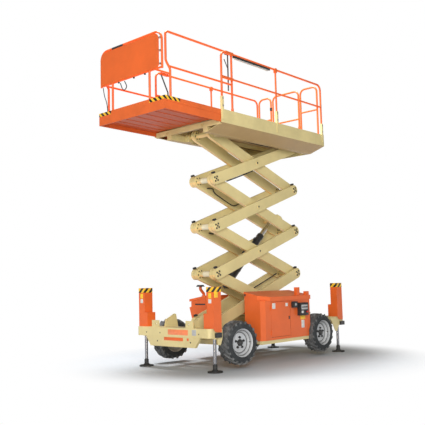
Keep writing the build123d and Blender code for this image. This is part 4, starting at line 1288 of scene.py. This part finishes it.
@dataclass
class PlatformFittings:
    """Track, clamps, cables, bands and hoses of both decks.

    Args:
        rail_y: Middle of the main side rails, from the middle plane.
        post_xs: Places of the main deck's three sockets on either side.
        socket_y: Outer face of the sockets, from the middle plane.
        nut_zs: Heights of the nuts on a socket.
        split_x: Place of the middle one, at the split post of the rail.
        strips: Number of pale strips under the track.
        strip_pitch: Distance from strip to strip.
        painted_shade_slots: Number of slots in the near channel, each drawn as a black sheet of painted
            shade.
        slot_pitch: Distance from slot to slot.
        front_x: Front face of the extension's deck.
        side_y: Side of the extension's deck, from the middle plane.
        ext_top_z: Top of the extension's deck.
        frame_x: Middle of the front rail's tubes.
        strut_y: Middle of the black struts by the near extension rail.
        band_height: Height of a striped band.
        band_skin: Thickness of a striped band.
    """

    rail_y: float = 0.822
    post_xs: tuple[float, ...] = (-1.07635, 0.46565, 1.97565)
    socket_y: float = 0.844
    nut_zs: tuple[float, ...] = (4.56, 4.43)
    split_x: float = 0.46565
    strips: int = 9
    strip_pitch: float = 0.108
    painted_shade_slots: int = 5
    slot_pitch: float = 0.08
    front_x: float = -2.41535
    side_y: float = 0.819
    ext_top_z: float = 4.366
    frame_x: float = -2.40535
    strut_y: float = -0.735
    band_height: float = 0.06
    band_skin: float = 0.0012

    def build(self) -> None:
        """Makes every fitting of the platform."""
        self.track()
        self.clamps()
        self.under_deck()
        self.bands()
        self.front_rail()
        self.cables()

    def track(self) -> None:
        """Dark track under the near top rail, with a row of pale strips under it."""
        form = Former("rail_track", "black", "grey_plate")
        y = -self.rail_y
        form.block((-0.755, y - 0.015, 5.344), (0.29, y + 0.015, 5.3795), 0.002)
        form.use("grey_plate")
        for step in range(self.strips):
            x = -0.72 + self.strip_pitch * step
            form.block((x, y - 0.013, 5.322), (x + 0.088, y + 0.009, 5.345), 0.002)
        form.done("platform")

    def clamps(self) -> None:
        """Clamps on the split posts, nuts on the sockets and a black sleeve on the far loop."""
        form = Former("rail_clamps", "orange", "black", "zinc")
        for side in Side:
            x, y, socket_y = self.split_x, side.value * self.rail_y, side.value * self.socket_y
            form.use("orange").block((x - 0.028, y - 0.024, 5.338), (x + 0.028, y + 0.024, 5.424), 0.004)
            form.use("zinc")
            for x in self.post_xs:
                for z in self.nut_zs:
                    form.nut((x, socket_y, z), (0, side.value, 0), 0.026, 0.010)
        form.use("black")
        form.bar((1.95565, 0.43, 5.105), (1.95565, 0.43, 5.175), 0.0245, sides=28, bevel=0.002)
        form.done("platform")

    def under_deck(self) -> None:
        """Black sheets of painted shade for the slots in the near channel, and hoses under the floor."""
        form = Former("under_deck_fittings", "black", "rubber")
        # Each slot is a black sheet of painted shade on the channel's face
        for step in range(self.painted_shade_slots):
            x = 1.40 + self.slot_pitch * step
            form.block((x, -0.5012, 4.052), (x + 0.036, -0.4995, 4.122), PLATE_EDGE)
        form.use("rubber")
        for step, y in enumerate((-0.10, -0.05, 0.01, 0.06, 0.11)):
            drop = 0.008 * (step % 3)
            form.hose([(0.47, y, 4.215), (0.7, y - 0.01, 4.205 - drop), (1.2, y + 0.01, 4.20 - drop),
                       (1.9, y, 4.21)], 0.013)
        form.done("platform", smooth=HOSE_SMOOTH)

    def bands(self) -> None:
        """Striped bands on the extension's front corners."""
        form = Former("deck_bands", "hazard_fine")
        low, high = self.ext_top_z - self.band_height, self.ext_top_z - 0.001
        x, y, t = self.front_x, self.side_y, self.band_skin
        form.block((x - t, -y - t, low), (x, -0.455, high))
        form.block((x, -y - t, low), (x + 0.33, -y, high))
        form.block((x - t, 0.50, low), (x, y + t, high))
        form.block((x, y, low), (x + 0.33, y + t, high))
        form.done("extension")

    def front_rail(self) -> None:
        """Grip, clips and grommets of the front rail and its panel."""
        form = Former("front_rail_fittings", "plastic", "zinc")
        x = self.frame_x
        form.bar((x, 0.170, 5.4252), (x, 0.458, 5.4252), 0.0235, sides=28, bevel=0.003)
        form.use("zinc")
        for y, z in ((-0.722, 5.31), (-0.722, 5.10), (-0.722, 4.885), (0.728, 5.20), (0.728, 4.92)):
            form.block((x - 0.0265, y - 0.018, z - 0.014), (x + 0.004, y + 0.018, z + 0.014), 0.003)
        form.use("plastic")
        for y in (-0.35, -0.08, 0.30):
            form.bar((x, y, 4.793), (x, y, 4.815), 0.016, sides=16, bevel=0.002)
        form.done("extension")

    def cables(self) -> None:
        """Loose cables under the front rail and the black struts by the near extension rail."""
        form = Former("extension_cables", "rubber", "black")
        x = self.frame_x + 0.004
        form.hose([(x, 0.16, 4.80), (x, 0.135, 4.765), (x + 0.01, 0.11, 4.70), (x + 0.01, 0.17, 4.645),
                   (x + 0.01, 0.24, 4.69), (x + 0.005, 0.27, 4.79)], 0.008)
        form.hose([(x, 0.72, 4.80), (x, 0.70, 4.66), (x + 0.01, 0.63, 4.52),
                   (x + 0.012, 0.62, 4.368)], 0.007)
        y = self.strut_y
        form.use("black").bar((-2.41, y, 4.70), (-2.27, y, 4.44), 0.011, sides=14)
        form.bar((-2.27, y, 4.44), (-2.27, y, 4.297), 0.011, sides=14)
        form.bar((-0.80, y, 5.40), (-0.80, y, 4.76), 0.012, sides=14, bevel=0.002)
        form.bar((-0.90, y - 0.002, 5.31), (-0.80, y - 0.002, 5.15), 0.008, sides=12)
        form.block((-0.90, y - 0.017, 5.395), (-0.79, y + 0.002, 5.425), 0.003)
        form.done("extension")


# Cabinets and beams


@dataclass
class ChassisFittings:
    """Blank plates, controls, seams and bolts of the cabinets and the front beam.

    Args:
        cabinet_y: Near face of the near cabinet and its door.
        control_y: Near face of the ground control box.
        beam_x: Front face of the front beam.
        bumper_x: Front face of the beam's lower part.
    """

    cabinet_y: float = -0.87
    control_y: float = -0.94
    beam_x: float = -1.57435
    bumper_x: float = -1.56235

    def build(self) -> None:
        """Makes every fitting of the chassis and the door."""
        self.cabinet()
        self.door()
        self.controls()
        self.beam()

    def side_plate(self, form: Former, low: tuple[float, float], high: tuple[float, float]) -> None:
        """Blank plate on the near cabinet's side.

        Args:
            form: The piece that it belongs to.
            low: X and Z of its lowest corner.
            high: X and Z of its highest corner.
        """
        y = self.cabinet_y
        form.block((low[0], y - PLATE_SKIN, low[1]), (high[0], y, high[1]), PLATE_EDGE)

    @staticmethod
    def front_plate(form: Former, x: float, low: tuple[float, float], high: tuple[float, float],
                    skin: float = PLATE_SKIN) -> None:
        """Blank plate on a front face.

        Args:
            form: The piece that it belongs to.
            x: Place of the face.
            low: Y and Z of its lowest corner.
            high: Y and Z of its highest corner.
            skin: Its thickness.
        """
        form.block((x - skin, *low), (x, *high), PLATE_EDGE)

    def cabinet(self) -> None:
        """Blank plates and a seam by the control box, and a bolt and a black sheet of painted shade for a
        slot on the cabinets' fronts.
        """
        form = Former("cabinet_plates", "yellow_plate", "white_plate", "black", "dark_seam")
        self.side_plate(form, (0.925, 0.714), (1.075, 0.787))
        self.side_plate(form.use("white_plate"), (0.95, 0.560), (1.045, 0.700))
        y = self.cabinet_y
        form.use("dark_seam").block((0.607, y - 0.0008, 0.425), (0.611, y, 1.075))
        # A black sheet of painted shade stands for the slot on the far cabinet's front
        form.use("black").block((-0.20, 0.49, 1.017), (-0.192, 0.76, 1.042))
        form.bar((-0.238, -0.50, 1.20), (-0.214, -0.50, 1.20), 0.018, sides=18, bevel=0.002)
        form.done("chassis")

    def door(self) -> None:
        """Blank plates and latch of the service door."""
        form = Former("door_plates", "white_plate", "black")
        self.side_plate(form, (0.075, 0.945), (0.165, 1.045))
        self.side_plate(form, (0.47, 0.975), (0.54, 1.035))
        y = self.cabinet_y
        form.use("black").block((0.555, y - 0.008, 0.74), (0.585, y + 0.001, 0.80), 0.003)
        form.done("door")

    def controls(self) -> None:
        """Panel, knobs and switches of the ground control box, and the small box beside it."""
        form = Former("control_fittings", "grey_plate", "red_knob", "plastic", "white_plate")
        y = self.control_y
        form.use("plastic").block((0.845, y - 0.004, 0.802), (1.083, y + 0.001, 1.013), 0.004)
        form.use("grey_plate").block((0.865, y - 0.006, 0.90), (1.062, y - 0.003, 0.985), 0.002)
        form.use("white_plate").block((0.865, y - 0.006, 0.835), (0.93, y - 0.003, 0.875), 0.001)
        form.use("red_knob")
        form.bar((1.03, y - 0.003, 0.855), (1.03, y - 0.026, 0.855), 0.018, sides=24, bevel=0.003)
        form.use("plastic")
        for x in (0.90, 0.945, 0.99, 1.03):
            form.bar((x, y - 0.005, 0.942), (x, y - 0.018, 0.942), 0.011, sides=18, bevel=0.002)
        form.block((0.655, y + 0.016, 0.950), (0.773, y + 0.0205, 1.046), 0.003)
        form.use("grey_plate")
        form.bar((0.714, y + 0.017, 1.0), (0.714, y + 0.010, 1.0), 0.024, sides=24, bevel=0.002)
        form.done("chassis")

    def beam(self) -> None:
        """Blank plates of the front beam, and black discs of painted shade for its holes."""
        form = Former("beam_plates", "grey_plate", "pale_orange", "orange", "black")
        self.front_plate(form, self.beam_x, (-0.572, 0.585), (-0.480, 0.678))
        self.front_plate(form.use("pale_orange"), self.beam_x, (-0.385, 0.585), (0.085, 0.672), skin=0.0012)
        self.front_plate(form.use("orange"), self.bumper_x, (-0.257, 0.486), (0.195, 0.540))
        self.front_plate(form, self.bumper_x, (-0.388, 0.494), (-0.348, 0.536))
        # Black discs of painted shade stand for the beam's holes
        form.use("black")
        for x, z, radius, places in ((self.bumper_x, 0.47, 0.013, (-0.43, 0.36)),
                                     (self.beam_x, 0.61, 0.011, (-0.63, 0.28, 0.62))):
            for y in places:
                form.bar((x + 0.004, y, z), (x - 0.001, y, z), radius, sides=20)
        form.done("chassis")


# Studio


def rays(tree: bpy.types.NodeTree, *kinds: str) -> Wire:
    """1 for rays of some kinds, and 0 for others.

    Args:
        tree: Node tree of a material or a world.
        kinds: Kinds of ray, such as Camera or Glossy.

    Returns:
        The sum, held to 1.
    """
    path = tree.nodes.new("ShaderNodeLightPath")
    first, *others = (Wire(tree, path.outputs[f"Is {kind} Ray"]) for kind in kinds)
    return sum(others, first).clamp()


@dataclass(frozen=True)
class Lamp:
    """One square area lamp.

    Args:
        name: The lamp's name.
        eye: Where it hangs.
        target: What it points at.
        size: Edge length.
        power: Watts.
        colour: Colour of its light.
    """

    name: str
    eye: Point
    target: Point
    size: float
    power: float
    colour: Colour = WHITE

    def hang(self) -> None:
        """Puts the lamp in the scene."""
        data = bpy.data.lights.new(self.name, "AREA")
        data.color = self.colour
        data.shape = "SQUARE"
        data.size = self.size
        data.energy = self.power
        lamp = linked(self.name, data)
        lamp.location = self.eye
        lamp.rotation_euler = (Vector(self.target) - Vector(self.eye)).to_track_quat("-Z", "Y").to_euler()


@dataclass
class Studio:
    """Pale floor, soft lights and the camera.

    Args:
        eye: Place of the camera.
        yaw: Degrees that it looks to the left of the row frame's X.
        pitch: Degrees that it looks upward.
        roll: Degrees that it is turned about its own view.
        lens: Focal length in millimetres.
        sensor: Width of its sensor in millimetres.
        far_limit: Distance up to which it sees.
        floor_radius: Radius of the floor.
        fade_x: Middle of the floor's fade along the machine.
        fade_from: Distance where the floor starts to fade.
        fade_to: Distance where it has become the backdrop.
        world_colour: Colour of the light from all round.
        world_strength: Strength of that light.
        lamps: The key lamp off the near front corner, the low warm lamp and the one overhead.
    """

    eye: Point = (-9.49935, -8.213, 1.447)
    yaw: float = 42.33
    pitch: float = 5.893
    roll: float = -1.374
    lens: float = 56.92
    sensor: float = 36.0
    far_limit: float = 200.0
    floor_radius: float = 60.0
    fade_x: float = 0.376
    fade_from: float = 2.2
    fade_to: float = 3.7
    world_colour: Colour = (1.0, 0.93, 0.82)
    world_strength: float = 0.34
    lamps: tuple[Lamp, ...] = (
        Lamp("key_lamp", (-11.0, -10.5, 5.5), (0.0, 0.0, 2.5), 5.0, 1370.0),
        Lamp("fill_lamp", (-13.0, -8.0, 0.8), (0.0, 0.0, 3.0), 2.5, 480.0, (1.0, 0.86, 0.66)),
        Lamp("top_lamp", (-1.6, 1.1, 12.0), (0.0, 0.0, 0.0), 3.2, 2100.0),
    )

    def build(self) -> None:
        """Makes the whole studio."""
        bpy.context.scene.view_settings.view_transform = "Standard"
        self.camera()
        self.floor()
        self.world()
        for lamp in self.lamps:
            lamp.hang()

    def camera(self) -> None:
        """Camera off the machine's near front corner, at chest height."""
        yaw, pitch, roll = (math.radians(v) for v in (self.yaw, self.pitch, self.roll))
        level_x, level_y = math.cos(yaw), math.sin(yaw)
        ahead = Vector((level_x * math.cos(pitch), level_y * math.cos(pitch), math.sin(pitch)))
        right = Vector((level_y, -level_x, 0.0))
        up = right.cross(ahead)
        level = right * math.cos(roll) + up * math.sin(roll)
        upright = up * math.cos(roll) - right * math.sin(roll)
        data = bpy.data.cameras.new("studio_camera")
        data.lens = self.lens
        data.sensor_width = self.sensor
        data.clip_end = self.far_limit
        camera = linked("studio_camera", data)
        turn = Matrix((level, upright, -ahead)).transposed().to_4x4()
        camera.matrix_world = Matrix.Translation(self.eye) @ turn
        bpy.context.scene.camera = camera

    def floor(self) -> None:
        """Pale floor that fades into the white backdrop."""
        bm = bmesh.new()
        bmesh.ops.create_circle(bm, cap_ends=True, segments=96, radius=self.floor_radius)
        mesh = bpy.data.meshes.new("studio_floor")
        bm.to_mesh(mesh)
        bm.free()
        shader = Shader("studio_floor")
        x, y, _ = shader.axes()
        away = ((x - self.fade_x) * (x - self.fade_x) + y * y) ** 0.5
        grain = shader.noise(0.6, 3.0)
        shader.feed("Base Color", shader.blend(grain, (0.475, 0.51, 0.55), (0.51, 0.54, 0.575)))
        shader.feed("Roughness", 0.9 + 0.05 * grain)
        glow = shader.node("Emission", inputs={"Color": (*WHITE, 1.0), "Strength": 1.0})
        seen = rays(shader.tree, "Camera", "Glossy", "Transmission")
        fade = away.ease(self.fade_from, self.fade_to) * seen
        mix = shader.node("MixShader", inputs={0: fade, 1: shader.surface.outputs[0], 2: glow.outputs[0]})
        output = shader.tree.nodes["Material Output"]
        shader.tree.links.new(mix.outputs[0], output.inputs["Surface"])
        mesh.materials.append(shader.material)
        floor = linked("studio_floor", mesh)

    def world(self) -> None:
        """World that lights the lift with weak warm light and looks white to the camera."""
        world = bpy.data.worlds.new("studio_world")
        world.use_nodes = True
        tree = world.node_tree
        warm = tree.nodes["Background"]
        warm.inputs["Color"].default_value = (*self.world_colour, 1.0)
        warm.inputs["Strength"].default_value = self.world_strength
        white = tree.nodes.new("ShaderNodeBackground")
        white.inputs["Color"].default_value = (*WHITE, 1.0)
        white.inputs["Strength"].default_value = 1.0
        mix = tree.nodes.new("ShaderNodeMixShader")
        tree.links.new(rays(tree, "Camera", "Transmission").value, mix.inputs[0])
        tree.links.new(warm.outputs[0], mix.inputs[1])
        tree.links.new(white.outputs[0], mix.inputs[2])
        tree.links.new(mix.outputs[0], tree.nodes["World Output"].inputs["Surface"])
        bpy.context.scene.world = world


# Carried-over CAD nodes


@dataclass
class Repaint:
    """Finishes of the CAD nodes that are shown as they are.

    Args:
        by_start: Finish of the nodes whose names start with a word; the first that fits counts.
    """

    by_start: dict[str, str] = field(default_factory=lambda: {
        "chassis_": "cream", "front_beam": "beam_cream", "rear_beam": "beam_cream",
        "leg_covers": "orange", "near_cabinet": "orange", "far_cabinet": "orange",
        "filler_": "filler", "engine_": "casting", "control_": "plastic",
        "front_axle": "cream", "rear_axle": "cream", "cabinet_door": "orange",
        "knuckle_": "cream", "leg_front": "leg", "leg_rear": "leg",
        "lift_barrel": "black", "lift_stage": "chrome", "lift_rod": "chrome",
        "main_deck": "deck_cream", "main_rail": "orange", "rear_rails": "orange",
        "gate": "orange", "extension_deck": "deck_orange", "extension_rail": "orange",
        "front_rail": "orange", "front_panel": "orange", "outer_arms": "cream",
        "inner_arms": "cream", "tyre_": "tyre", "rim_": "silver",
    })

    def build(self) -> None:
        """Gives every node its finish."""
        for name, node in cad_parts.items():
            finish = next(f for start, f in self.by_start.items() if name.startswith(start))
            for slot in node.material_slots:
                slot.material = FINISH[finish]
            LOG.info("%s keeps its CAD shape in %s", name, finish)


def main() -> None:
    """Dresses the lift and sets the studio round it."""
    logging.basicConfig(level=logging.INFO, format="%(message)s")
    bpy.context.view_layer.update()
    Studio().build()
    Repaint().build()
    for end, x, steer in (("front", LIFT.front_axle_x, LIFT.steer_rest), ("rear", LIFT.rear_axle_x, 0.0)):
        for side in Side:
            Wheel(f"{end}_{side.label()}", x, side, steer).build()
    for fittings in (Outriggers, ArmFittings, CylinderFittings, PlatformFittings, ChassisFittings):
        fittings().build()


if __name__ == "__main__":
    main()
